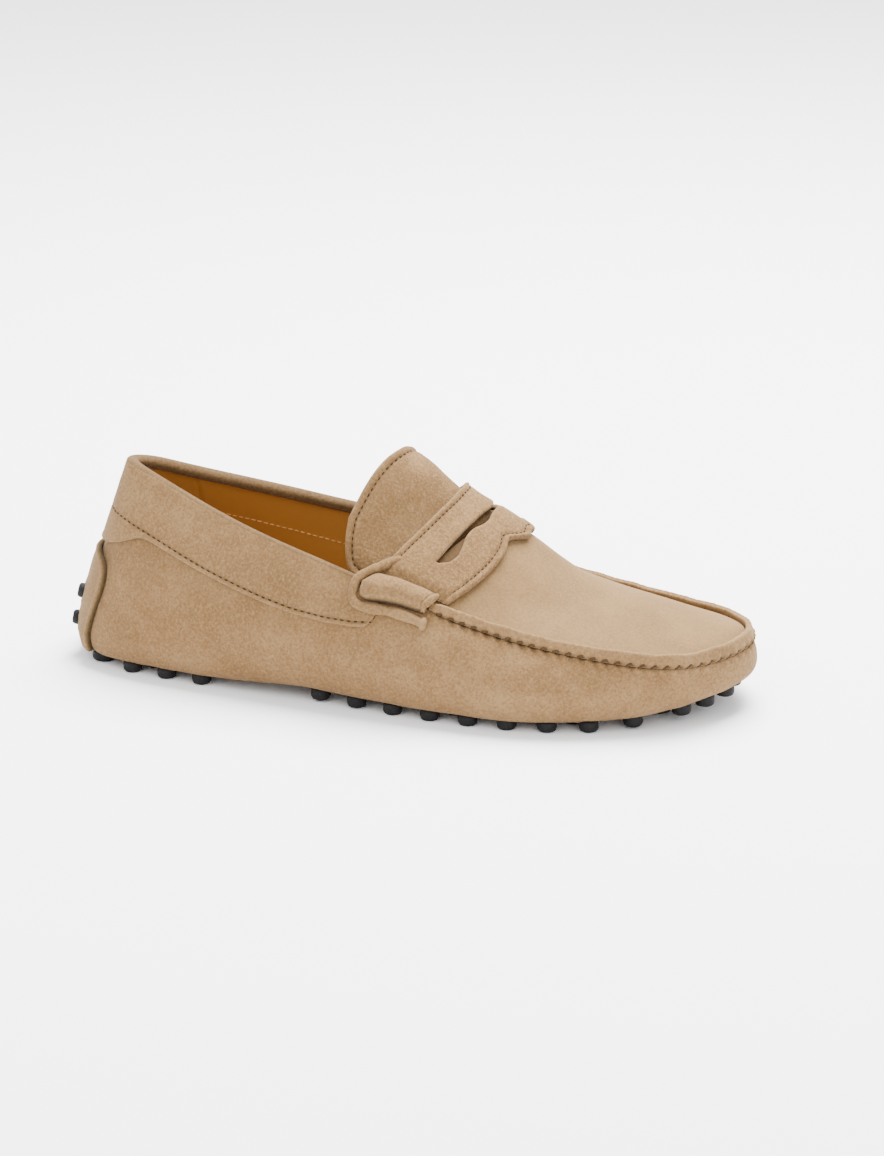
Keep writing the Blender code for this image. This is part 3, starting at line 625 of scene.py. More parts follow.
def skin(name: str, outer: Array, inner: Array, finish: Finish, cells: Array | None = None,
         wrap: bool = False, marks: dict[str, Array] | None = None,
         underside_shade: float = 0.0) -> bpy.types.Object:
    """A closed skin between two grids of points.

    Args:
        name: Name of the piece.
        outer: Points of the shown face.
        inner: Points of the face behind it.
        finish: What it is made of.
        cells: Which cells of the grid have a face; all of them if left out.
        wrap: True where the last column joins the first.
        marks: Values per point of the grid that the material reads.
        underside_shade: Least painted shade on the face behind, where the skin lies on what is under it.

    Returns:
        The object.
    """
    rows, columns = outer.shape[:2]
    cells = every_cell(outer, wrap) if cells is None else cells
    number = np.arange(rows * columns).reshape(rows, columns)
    nxt = (np.arange(cells.shape[1]) + 1) % columns
    quads = np.stack([number[:-1, :cells.shape[1]], number[:-1, nxt], number[1:, nxt],
                      number[1:, :cells.shape[1]]], -1)[cells]
    edges = border_edges(cells, wrap)
    count = rows * columns
    sides = np.stack([edges[:, 1], edges[:, 0], edges[:, 0] + count, edges[:, 1] + count], -1)
    faces = np.concatenate([quads, quads[:, ::-1] + count, sides])
    points = np.concatenate([outer.reshape(-1, 3), inner.reshape(-1, 3)])
    used = np.unique(faces)
    renumber = np.zeros(2 * count, int)
    renumber[used] = np.arange(len(used))
    # The face behind gets painted shade, at least the given amount, where the skin lies on another piece.
    least = {"painted_shade": underside_shade}
    doubled = {key: np.concatenate([v.ravel(), np.maximum(v.ravel(), least.get(key, 0.0))])[used]
               for key, v in (marks or {}).items()}
    return mesh_object(name, points[used], renumber[faces], finish, doubled)


def turned(profile: Sequence[tuple[float, float]], sides: int) -> tuple[Array, Array]:
    """Vertices and triangles of a profile of radius and height turned about the third axis.

    Args:
        profile: Radius and height of each ring, from the bottom.
        sides: Points round each ring.

    Returns:
        Vertices and triangles, closed at both ends.
    """
    angles = np.arange(sides) * 2 * pi / sides
    rings = [np.stack([r * np.cos(angles), r * np.sin(angles), np.full(sides, z)], -1)
             for r, z in profile]
    points = np.concatenate(rings + [np.array([[0, 0, profile[0][1]], [0, 0, profile[-1][1]]])])
    around = np.arange(sides)
    nxt = (around + 1) % sides
    faces = []
    for k in range(len(profile) - 1):
        a, b, c, d = k * sides + around, k * sides + nxt, (k + 1) * sides + nxt, (k + 1) * sides + around
        faces += [np.stack([a, b, c], -1), np.stack([a, c, d], -1)]
    low, high = len(profile) * sides, len(profile) * sides + 1
    last = (len(profile) - 1) * sides
    faces.append(np.stack([nxt, around, np.full(sides, low)], -1))
    faces.append(np.stack([last + around, last + nxt, np.full(sides, high)], -1))
    return points, np.concatenate(faces)


def strew(name: str, shape: tuple[Array, Array], middles: Array, frames: Array, sizes: Array,
          finish: Finish) -> bpy.types.Object:
    """Many copies of one small shape as a joined mesh.

    Args:
        name: Name of the piece.
        shape: Vertices and triangles of the small shape, about 1 in size.
        middles: Where each copy lies.
        frames: For each copy, its three axes as rows.
        sizes: For each copy, its size along the three axes.
        finish: What they are made of.

    Returns:
        The object.
    """
    points, faces = shape
    placed = np.einsum("pk,nk,nkj->npj", points, sizes, frames) + middles[:, None, :]
    shifts = (np.arange(len(middles)) * len(points))[:, None, None]
    return mesh_object(name, placed.reshape(-1, 3), (faces[None] + shifts).reshape(-1, 3), finish)


STITCH_SHAPE = turned([(0.45, -1.0), (0.8, -0.8), (1.0, -0.45), (1.0, 0.45), (0.8, 0.8), (0.45, 1.0)], 8)
PEBBLE_SHAPE = turned([(0.9, 0.0), (0.97, 0.25), (1.0, 0.5), (0.99, 0.68), (0.95, 0.82), (0.86, 0.92),
                       (0.7, 0.975), (0.5, 0.995), (0.25, 1.0)], 28)


class Stitch(NamedTuple):
    """A row of stitches: pitch, length and thickness, lift over the skin, slant in radians."""

    pitch: float
    length: float
    girth: float
    lift: float = -0.02
    slant: float = 0.0


def stitch_line(name: str, line: Array, normals: Array, stitch: Stitch,
                finish: Finish) -> bpy.types.Object:
    """Thread stitches along a line on a skin.

    Args:
        name: Name of the piece.
        line: Points on the skin.
        normals: Normals there.
        stitch: Measures of the stitches.
        finish: What the thread is made of.

    Returns:
        The object.
    """
    places = spaced(line, stitch.pitch)
    middles, up = pick(line, places), unit(pick(normals, places))
    ahead = unit(pick(line, np.minimum(places + 0.5, len(line) - 1)) - pick(line, places - 0.5))
    across = unit(np.cross(up, ahead))
    ahead = unit(np.cross(across, up))
    slanted = (across * cos(stitch.slant) - ahead * sin(stitch.slant),
               up, ahead * cos(stitch.slant) + across * sin(stitch.slant))
    sizes = np.tile((stitch.girth / 2, stitch.girth / 2, stitch.length / 2), (len(places), 1))
    return strew(name, STITCH_SHAPE, middles + up * stitch.lift, np.stack(slanted, 1), sizes, finish)


def tube(line: Array, normal: Array, wide: Array, tall: Array, sides: int,
         square: float = 1.0) -> tuple[Array, Array]:
    """Two skins of a strand along a line.

    Args:
        line: Middle line of the strand.
        normal: Up direction along it.
        wide: Half width along it.
        tall: Half height along it.
        sides: Points round the strand.
        square: 1 for a round section, less for a fuller one.

    Returns:
        Outer and inner grid of points, a row for each point of the line.
    """
    across = unit(np.cross(normal, unit(np.gradient(line, axis=0))))
    outer = np.stack([line + across * (wide * cos(a))[:, None]
                      + normal * (tall * np.sign(sin(a)) * abs(sin(a)) ** square)[:, None]
                      for a in np.arange(sides) * 2 * pi / sides], 1)
    return outer, line[:, None] + 0.3 * (outer - line[:, None])


Colour = tuple[float, float, float]
Feed = object                                # a node's output socket, a number or a colour
DEEP_SHADE = (0.012, 0.006, 0.002)           # smooth leather in its grooves


class Graph:
    """A node tree, with short ways to add nodes."""

    def __init__(self, tree: bpy.types.NodeTree) -> None:
        self.tree = tree

    def feed(self, socket: bpy.types.NodeSocket, value: Feed) -> None:
        """Join a socket to another, or set its number or colour.

        Args:
            socket: The input to feed.
            value: What feeds it.
        """
        if isinstance(value, bpy.types.NodeSocket):
            self.tree.links.new(value, socket)
        else:
            socket.default_value = (*value, 1.0) if isinstance(value, tuple) else value

    def node(self, kind: str, feeds: dict[str | int, Feed]) -> bpy.types.Node:
        """A new node with its inputs fed, by name or number.

        Args:
            kind: The node's type.
            feeds: What each input gets, by name or number.

        Returns:
            The node.
        """
        node = self.tree.nodes.new(kind)
        for label, value in feeds.items():
            self.feed(node.inputs[label], value)
        return node

    def math(self, operation: str, a: Feed, b: Feed) -> bpy.types.NodeSocket:
        """Result of a Math node.

        Args:
            operation: Name of the operation.
            a: First input.
            b: Second input.

        Returns:
            Its output.
        """
        node = self.node("ShaderNodeMath", {0: a, 1: b})
        node.operation = operation
        return node.outputs[0]

    def mix(self, share: Feed, a: Feed, b: Feed) -> bpy.types.NodeSocket:
        """Result of a colour Mix node.

        Args:
            share: Share of b.
            a: First colour.
            b: Second colour.

        Returns:
            Its output.
        """
        node = self.tree.nodes.new("ShaderNodeMix")
        node.data_type = "RGBA"
        for index, value in ((0, share), (6, a), (7, b)):
            self.feed(node.inputs[index], value)
        return node.outputs[2]

    def ramp(self, value: Feed, low: float, high: float, to_low: float = 0.0,
             to_high: float = 1.0) -> bpy.types.NodeSocket:
        """Result of a Map Range node, clamped."""
        return self.node("ShaderNodeMapRange", {"Value": value, "From Min": low, "From Max": high,
                                                "To Min": to_low, "To Max": to_high}).outputs["Result"]

    def attribute(self, name: str) -> bpy.types.NodeSocket:
        """Value of a mark on the mesh.

        Args:
            name: Name of the mark.

        Returns:
            The output that reads it.
        """
        node = self.tree.nodes.new("ShaderNodeAttribute")
        node.attribute_name = name
        return node.outputs["Fac"]


class Group(Graph):
    """A node group that works out a colour, a height and a roughness."""

    def __init__(self, name: str, colours: Sequence[str], numbers: Sequence[str]) -> None:
        super().__init__(bpy.data.node_groups.new(name, "ShaderNodeTree"))
        self._sockets("INPUT", colours, numbers)
        self._sockets("OUTPUT", ("Color",), ("Height", "Roughness"))
        self.given = self.tree.nodes.new("NodeGroupInput").outputs
        self.place = self.tree.nodes.new("ShaderNodeTexCoord").outputs["Object"]

    def _sockets(self, end: str, colours: Sequence[str], numbers: Sequence[str]) -> None:
        """Add the sockets of one end.

        Args:
            end: INPUT or OUTPUT.
            colours: Names of its colours.
            numbers: Names of its numbers.
        """
        for kind, labels in (("NodeSocketColor", colours), ("NodeSocketFloat", numbers)):
            for label in labels:
                self.tree.interface.new_socket(name=label, in_out=end, socket_type=kind)

    def noise(self, scale: Feed, detail: float, rough: float = 0.5) -> bpy.types.NodeSocket:
        """Noise over the piece; its scale is per metre."""
        return self.node("ShaderNodeTexNoise", {"Vector": self.place, "Scale": scale, "Detail": detail,
                                                "Roughness": rough}).outputs["Fac"]

    def blend(self, a: Feed, share_a: float, b: Feed, share_b: float) -> bpy.types.NodeSocket:
        """Weighted sum of two values."""
        return self.math("ADD", self.math("MULTIPLY", a, share_a), self.math("MULTIPLY", b, share_b))

    def done(self, colour: Feed, height: Feed, roughness: Feed) -> bpy.types.NodeTree:
        """Join the results to the group's outputs."""
        self.node("NodeGroupOutput", {"Color": colour, "Height": height, "Roughness": roughness})
        return self.tree


def nap_group() -> bpy.types.NodeTree:
    """Suede: patches of lighter and darker nap, a fine speckle of fibres, lighter edges with a painted
    highlight where marked, and painted shade.

    Returns:
        The group, made once.
    """
    if "Nap" in bpy.data.node_groups:
        return bpy.data.node_groups["Nap"]
    group = Group("Nap", ("Base", "Light", "Dark", "Painted_Deep_Shade"), ("Patches", "Speckle", "Rim", "Painted_Shade"))
    given = group.given
    patch, grain = group.noise(95.0, 4.0, 0.62), group.noise(900.0, 3.0, 0.75)
    tone_patches = group.ramp(group.blend(group.noise(26.0, 3.0, 0.6), 0.6, patch, 0.4), 0.36, 0.64)
    colour = given["Base"]
    for value, full, amount, tone in (
            (tone_patches, 1.0, "Patches", "Light"), (tone_patches, 0.0, "Patches", "Dark"),
            (grain, 0.68, "Speckle", "Light"), (grain, 0.32, "Speckle", "Dark")):
        share = group.math("MULTIPLY", group.ramp(value, 0.5, full), given[amount])
        colour = group.mix(share, colour, given[tone])
    # The rim mark lightens the suede: frayed borders, and on the wall a painted highlight on the toe tip.
    fray_and_highlight = group.math("MULTIPLY", given["Rim"], group.ramp(grain, 0.4, 0.6, 0.25, 1.0))
    colour = group.mix(fray_and_highlight, colour, given["Light"])
    # Painted shade: darker in creases, seams, grooves and under other parts, as the mesh marks it.
    colour = group.mix(given["Painted_Shade"], colour, given["Painted_Deep_Shade"])
    height = group.blend(grain, 0.6, group.noise(2600.0, 2.0, 0.6), 0.4)
    return group.done(colour, height, group.ramp(patch, 0.3, 0.7, 0.86, 0.98))


def grain_group() -> bpy.types.NodeTree:
    """Smooth hide or rubber: fine pebbling, pores, a cloudy tone and painted shade where marked.

    Returns:
        The group, made once.
    """
    if "Grain" in bpy.data.node_groups:
        return bpy.data.node_groups["Grain"]
    group = Group("Grain", ("Base", "Dark"), ("Scale", "Cloud", "Gloss", "Painted_Shade"))
    given = group.given
    pores = group.node("ShaderNodeTexVoronoi", {"Vector": group.place, "Scale": given["Scale"]})
    fine = group.noise(given["Scale"], 3.0)
    share = group.math("MULTIPLY", group.ramp(group.noise(45.0, 3.0), 0.35, 0.7), given["Cloud"])
    colour = group.mix(share, given["Base"], given["Dark"])
    # Painted shade in seams and grooves and over shaded parts, as the mesh marks it.
    colour = group.mix(given["Painted_Shade"], colour, DEEP_SHADE)
    height = group.math("ADD", group.math("MULTIPLY", pores.outputs["Distance"], 0.7), fine)
    shine = group.math("ADD", given["Gloss"], group.ramp(fine, 0.3, 0.7, -0.06, 0.08))
    return group.done(colour, height, shine)


@dataclass(frozen=True)
class Finish:
    """What a piece is made of."""

    name: str

    def material(self) -> bpy.types.Material:
        """The material of this finish, made once.

        Returns:
            The material.
        """
        made = bpy.data.materials.get(self.name)
        if made is None:
            made = bpy.data.materials.new(self.name)
            made.use_nodes = True
            self.dress(Graph(made.node_tree), made.node_tree.nodes["Principled BSDF"].inputs)
        return made

    def dress(self, graph: Graph, shader: bpy.types.NodeInputs) -> None:
        """Fill in the nodes; each finish has its own."""
        raise NotImplementedError

    def join(self, graph: Graph, shader: bpy.types.NodeInputs, group: bpy.types.NodeTree) -> None:
        """Place a group in the material and join it to the shader.

        Each input of the group takes this finish's value of the same name, or else the mark of
        that name on the mesh.

        Args:
            graph: The material's nodes.
            shader: Inputs of its shader.
            group: The node group.
        """
        node = graph.tree.nodes.new("ShaderNodeGroup")
        node.node_tree = group
        for socket in node.inputs:
            key = socket.name.lower()
            graph.feed(socket, getattr(self, key) if hasattr(self, key) else graph.attribute(key))
        bumps = graph.node("ShaderNodeBump", {"Strength": self.bump, "Distance": self.depth,
                                              "Height": node.outputs["Height"]})
        for label, value in (("Base Color", node.outputs["Color"]), ("Normal", bumps.outputs["Normal"]),
                             ("Roughness", node.outputs["Roughness"]),
                             ("Specular IOR Level", self.specular)):
            graph.feed(shader[label], value)


@dataclass(frozen=True)
class Suede(Finish):
    """Napped suede in one tone."""

    base: Colour = (0.175, 0.098, 0.039)
    light: Colour = (0.22, 0.134, 0.061)
    dark: Colour = (0.098, 0.051, 0.018)
    # Colour of the painted shade in creases, seams and under other parts.
    painted_deep_shade: Colour = (0.022, 0.012, 0.005)
    patches: float = 0.5
    speckle: float = 0.65
    bump: float = 0.6
    depth: float = 0.0006        # of the bumps, in metres
    specular: float = 0.12
    sheen: float = 0.10
    sheen_roughness: float = 0.5
    sheen_tint: Colour = (0.9, 0.72, 0.5)

    def dress(self, graph: Graph, shader: bpy.types.NodeInputs) -> None:
        """Nap, sheen, and lighter borders where the fibres fray, with a painted highlight where marked.

        Args:
            graph: The material's nodes.
            shader: Inputs of its shader.
        """
        self.join(graph, shader, nap_group())
        graph.feed(shader["Sheen Weight"], self.sheen)
        graph.feed(shader["Sheen Roughness"], self.sheen_roughness)
        graph.feed(shader["Sheen Tint"], self.sheen_tint)


@dataclass(frozen=True)
class Hide(Finish):
    """Smooth leather, rubber or thread."""

    base: Colour = (0.3, 0.13, 0.025)
    dark: Colour = (0.2, 0.08, 0.015)
    scale: float = 1500.0
    cloud: float = 0.4
    gloss: float = 0.5
    bump: float = 0.2
    depth: float = 0.0003
    specular: float = 0.35

    def dress(self, graph: Graph, shader: bpy.types.NodeInputs) -> None:
        """Grain with a soft gloss."""
        self.join(graph, shader, grain_group())


WALL_SUEDE = Suede("wall_suede", base=(0.146, 0.080, 0.0315))
APRON_SUEDE = Suede("apron_suede", base=(0.163, 0.096, 0.040), patches=0.35, speckle=0.35, bump=0.35)
# A darker copy of the suede: painted shade over the whole tongue.
SHADED_TONGUE_SUEDE = Suede("tongue_suede", base=(0.130, 0.071, 0.0275))
BAND_SUEDE = Suede("band_suede", base=(0.149, 0.083, 0.033))
STRAP_SUEDE = Suede("strap_suede", base=(0.146, 0.081, 0.032), speckle=0.75)
RIDGE_SUEDE = Suede("ridge_suede", base=(0.158, 0.089, 0.0365), speckle=0.55, bump=0.5)
# The guard's shade colour is an olive brown: painted shade at its edge, partly the cut edge's own tone.
GUARD_SUEDE = Suede("guard_suede", base=(0.150, 0.086, 0.035), painted_deep_shade=(0.03, 0.02, 0.006))
SOLE_SUEDE = Suede("sole_suede", base=(0.12, 0.068, 0.028))
LINING = Hide("lining_leather", base=(0.31, 0.135, 0.018), dark=(0.25, 0.10, 0.012), gloss=0.48)
SOCK = Hide("sock_leather", base=(0.25, 0.11, 0.02), dark=(0.19, 0.075, 0.012), gloss=0.45)
RUBBER = Hide("pebble_rubber", base=(0.0065, 0.006, 0.006), dark=(0.011, 0.010, 0.010), scale=2600.0,
              gloss=0.62, bump=0.25, specular=0.16)
THREAD = Hide("seam_thread", base=(0.05, 0.027, 0.011), dark=(0.03, 0.016, 0.006), scale=5000.0,
              gloss=0.85, specular=0.1)
DARK_THREAD = Hide("pinhole_thread", base=(0.028, 0.016, 0.007), dark=(0.018, 0.010, 0.004), scale=5000.0,
                   gloss=0.85, specular=0.1)
TAN_THREAD = Hide("lining_thread", base=(0.55, 0.30, 0.09), dark=(0.42, 0.21, 0.06), scale=5000.0,
                  gloss=0.7)


class Slot(Enum):
    """Names of material slots."""

    SUEDE = "suede"
    LINING = "lining_leather"
    RUBBER = "rubber"


class Crease(NamedTuple):
    """A soft trough on a skin: middle, direction from +x in degrees, reach, half width, depth."""

    x: float
    level: float
    angle: float
    reach: float
    width: float
    depth: float


OUTER_CREASES = {
    "heel dimple": Crease(36, 12, 35, 6, 2.0, 0.7),
    "heel dimple front": Crease(45, 11, 40, 5, 2.0, 0.55),
    "heel dent": Crease(30, 22, -35, 12, 4, 0.4),
    "quarter sag": Crease(78, 15, 8, 22, 4, 0.5),
    "waist hollow": Crease(112, 26, 62, 14, 5, 0.6),
    "band pull": Crease(140, 30, 50, 12, 4, 0.5),
    "joint pull back": Crease(168, 24, 72, 12, 4.5, 0.45),
    "joint pull front": Crease(186, 22, 78, 10, 4, 0.35),
    "forepart sag": Crease(215, 13, -4, 24, 3.5, 0.35),
}
INNER_CREASES = {
    "quarter sag": Crease(60, 18, -6, 20, 4, 0.5),
    "waist fold": Crease(100, 22, 40, 14, 4.5, 0.7),
    "waist pull": Crease(126, 30, -50, 12, 4, 0.5),
    "joint pull": Crease(176, 24, 70, 12, 4, 0.5),
    "forepart sag": Crease(214, 14, 4, 20, 3.5, 0.35),
}
APRON_CREASES = {
    "vamp break out": Crease(206, -16, 62, 16, 4.5, 0.35),
    "vamp break in": Crease(202, 22, -58, 14, 4.5, 0.35),
    "vamp break front": Crease(220, 4, 84, 16, 5, 0.3),
    "strap shade": Crease(196, -24, 40, 10, 3.5, 0.3),
}


def troughs(x: Array, level: Array, creases: dict[str, Crease]) -> Array:
    """Depth of all creases at places on a skin.

    Args:
        x: Place along the shoe.
        level: Height on the wall, or y on the apron.
        creases: The creases, by name.

    Returns:
        One height for each place, below 0 in a trough.
    """
    total = np.zeros_like(x)
    for crease in creases.values():
        turn = radians(crease.angle)
        dx, dl = x - crease.x, level - crease.level
        along = dx * cos(turn) + dl * sin(turn)
        across = dl * cos(turn) - dx * sin(turn)
        shape = hump(across, crease.width) - 0.35 * hump(across - 2.2 * crease.width, crease.width * 1.3)
        total -= crease.depth * shape * hump(along, crease.reach)
    return total


@dataclass
class SubAssembly:
    """A group of pieces that a maker puts on together."""

    pieces: list[bpy.types.Object] = field(default_factory=list, init=False)

    def keep(self, piece: bpy.types.Object, *nodes: str, slot: Slot = Slot.SUEDE) -> None:
        """Note a piece and hide the solids that it stands for.

        Args:
            piece: The piece.
            nodes: Solids that it replaces.
            slot: Its material slot; not used.
        """
        if nodes:
            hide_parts(*nodes)
        self.pieces.append(piece)


@dataclass
class Seam:
    """Hand-sewn seam between wall and apron: its line and its stitches."""

    start: float = 2.74          # row of the instep where the ridge starts
    fade: float = 0.01           # share of the way round the wall over which the sewing sets in
    stitch: Stitch = Stitch(4.8, 2.6, 0.95, -0.15, 0.6)
    stations: int = 760

    def beat(self, run: Array) -> Array:
        """Beat of the stitches along the seam: 0 at them, 1 between them."""
        return 0.5 - 0.5 * np.cos(2 * pi * run / self.stitch.pitch)

    def line(self) -> tuple[Array, Array, Array, Array]:
        """The seam from the strap's outer end round the toe, at even steps.

        Returns:
            Rows of the instep, sides, places round the wall and running length.
        """
        half = self.stations // 2
        rows = np.concatenate([np.linspace(self.start, TIP_ROW, half),
                               np.linspace(TIP_ROW, self.start, half)[1:]])
        sides = np.concatenate([np.full(half, -1.0), np.full(half - 1, 1.0)])
        places = np.where(sides < 0, LAST.edge(rows, Side.OUTER), LAST.edge(rows, Side.INNER))
        fine = LAST.wall(places, 1.0)
        run = run_along(fine[:, None], 0)[:, 0]
        even = np.linspace(0, run[-1], len(run))
        index = np.interp(even, run, np.arange(len(run)))
        rows = np.interp(index, np.arange(len(rows)), rows)
        places = np.interp(index, np.arange(len(places)), places)
        sides = np.where(index < half - 0.5, -1.0, 1.0)
        return rows, sides, places, even

    def pull(self, t: Array) -> tuple[Array, Array]:
        """Where the seam is sewn round the wall, 0 to 1, and the beat of its stitches there.

        Args:
            t: Place once round the shoe.

        Returns:
            How firmly the seam is sewn there, 0 to 1, and the beat of its stitches.
        """
        _, _, places, run = self.line()
        ease = np.clip((t - places[0]) / self.fade, 0, 1) * np.clip((places[-1] - t) / self.fade, 0, 1)
        return ease, self.beat(np.interp(t, places, run))


class LighterPatch(NamedTuple):
    """Lighter patch on the outer wall: its middle, and how far it reaches along and up."""

    x: float
    level: float
    reach: float
    rise: float


@dataclass
class Upper(SubAssembly):
    """Wall, apron and lining."""

    seam: Seam
    suede: float = 1.2
    lining: float = 0.6
    columns: int = 900
    low_rows: int = 16           # rows below the girth
    high_rows: int = 34
    crowding: float = 1.7        # how much the upper rows crowd towards the top edge
    turned_in: tuple[float, ...] = (-3.0, -1.5)
    lighter_patches: tuple[LighterPatch, ...] = (
        LighterPatch(93, 17, 15, 6), LighterPatch(52, 12, 10, 4), LighterPatch(128, 22, 9, 7),
        LighterPatch(196, 14, 22, 4))
    apron_rows: int = 176
    apron_columns: int = 136
    lining_seam_x: float = 42.0
    lining_line: tuple[tuple[float, float], tuple[float, float]] = ((50.0, 54.6), (101.0, 42.8))
    lining_columns: int = 640
    lining_rows: int = 48
    stitch: Stitch = Stitch(2.6, 1.9, 0.6, 0.2)

    def build(self) -> None:
        """Make the pieces."""
        self._wall()
        self._apron()
        self._lining()

    def _wall(self) -> None:
        """Suede round the foot, turned in under it."""
        t = np.linspace(0, 1, self.columns, endpoint=False)
        low = np.linspace(0, GIRTH_AT, self.low_rows, endpoint=False)
        high = GIRTH_AT + (1 - GIRTH_AT) * (1 - np.linspace(1, 0, self.high_rows) ** self.crowding)
        h = np.concatenate([self.turned_in, low, high])
        points = LAST.wall(t[None], h[:, None])
        normals = grid_normals(points, wrap=True)
        x, y, z = np.moveaxis(points, -1, 0)
        run = run_along(points, 0)
        below = run[-1] - run
        relief = np.where(y < 0, troughs(x, z, OUTER_CREASES), troughs(x, z, INNER_CREASES))
        relief += uneven(points, 11, (0.16, 46), (0.05, 11))
        sewn, beat = self.seam.pull(t)
        relief += sewn * (1.1 * hump(below - 1.7, 1.4) * (beat - 0.4) - 0.7 * hump(below, 0.9))
        relief += sewn * 0.18 * beat * hump(below - 5, 3.0)
        # Painted shade in the crease under the seam's ridge, strongest at the stitches.
        painted_shade = sewn * hump(below, 0.75 + 0.55 * (1 - beat)) * (1 - 0.35 * beat)
        relief *= np.clip(run / 4, 0, 1)
        outer = points + normals * relief[..., None]
        inner = points - normals * self.suede
        # Painted highlight on the toe tip, and lighter patches on the outer wall; both lighten the suede
        # through the rim mark.
        tone_patches = 0.5 * soft_step(x, 256, 276) * hump(z - 19, 9)
        for spot in self.lighter_patches:
            lightening = hump(x - spot.x, spot.reach) * hump(z - spot.level, spot.rise)
            tone_patches = tone_patches + 0.35 * lightening * (y < 0)
        marks = {"rim": np.clip(tone_patches, 0, 1), "painted_shade": 0.95 * painted_shade}
        piece = skin("wall_suede", outer, inner, WALL_SUEDE, wrap=True, marks=marks)
        self.keep(piece, "upper")

    def _apron(self) -> None:
        """Apron over the toes, from under the strap to the toe tip."""
        s = THROAT + (TIP_ROW - THROAT) * np.linspace(0, 1, self.apron_rows)
        s[-1] -= 1e-4
        v = 2 * graded(self.apron_columns, 0.7) - 1
        points = LAST.instep(s[:, None], v[None])
        normals = grid_normals(points)
        x, y, _ = np.moveaxis(points, -1, 0)
        edge = from_sides(points)
        relief = troughs(x, y, APRON_CREASES) + uneven(points, 21, (0.14, 52), (0.04, 13))
        relief -= 0.5 * hump(edge - 2.6, 1.6)
        relief *= np.clip(edge / 2, 0, 1)
        outer = points + normals * relief[..., None]
        # Painted shade where the apron runs under the strap, and along its edge under the seam's ridge.
        shade = 0.55 * (1 - soft_step(s, 2.25, 2.5))[:, None]
        marks = {"rim": np.zeros_like(x), "painted_shade": 0.5 * hump(edge - 1.9, 1.0) + shade}
        piece = skin("apron_suede", outer, points - normals * self.suede, APRON_SUEDE, marks=marks)
        self.keep(piece, "upper")

    def _lining_level(self, x: Array) -> Array:
        """Height of the line of stitches on the lining."""
        (x0, z0), (x1, z1) = self.lining_line
        return z0 + (z1 - z0) * (x - x0) / (x1 - x0)

    def _lining(self) -> None:
        """Leather lining of the quarters, with its seams."""
        t = np.linspace(0, 1, self.lining_columns, endpoint=False)
        h = np.linspace(0.02, 0.985, self.lining_rows)
        points = LAST.wall(t[None], h[:, None])
        normals = grid_normals(points, wrap=True)
        x, _, z = np.moveaxis(points, -1, 0)
        line = self._lining_level(x)
        from_seam = x - self.lining_seam_x
        painted_shade = 1.1 * hump(from_seam, 0.55) + 0.4 * hump(z - line, 0.6) * (from_seam > 0) * (x < 150)
        thick = self.lining + 0.35 * np.clip(from_seam / 1.2, 0, 1) - 0.3 * painted_shade
        thick += 0.10 * drift(points, 30, 31)
        outer = points - normals * (self.suede + 0.15)
        inner = outer - normals * thick[..., None]
        # Painted shade in the lining's seams and over its lower part, darker further down.
        marks = {"painted_shade": np.clip(0.85 * painted_shade + 0.8 * soft_step(line - z, -16, 12), 0, 1)}
        piece = skin("quarter_lining", inner, outer, LINING, wrap=True, marks=marks)
        self.keep(piece, slot=Slot.LINING)
        for side in Side:
            at_x = np.linspace(self.lining_seam_x + 3, 120, 160)
            places = LAST.side_at(at_x, side)
            h = LAST.height(places, self._lining_level(at_x))
            point, normal, _ = LAST.wall_frame(places, h)
            row = stitch_line(f"lining_stitches_{side.name.lower()}", point - normal * UPPER_WALL, -normal,
                              self.stitch, TAN_THREAD)
            self.keep(row, slot=Slot.LINING)


class RidgePoint(NamedTuple):
    """Section of the seam's ridge: share of its height, and of its half width."""

    share: float
    wide: float


RIDGE = tuple(RidgePoint(*point) for point in (
    (-0.10, 0.55), (0.0, 0.85), (0.10, 1.10), (0.24, 1.22), (0.42, 1.12), (0.60, 1.0), (0.78, 0.98),
    (0.92, 0.86), (0.99, 0.60), (1.0, 0.30), (0.955, 0.0), (0.99, -0.3), (0.96, -0.65), (0.86, -0.9),
    (0.70, -1.0), (0.50, -1.05), (0.30, -1.15), (0.12, -1.4), (-0.02, -1.7)))


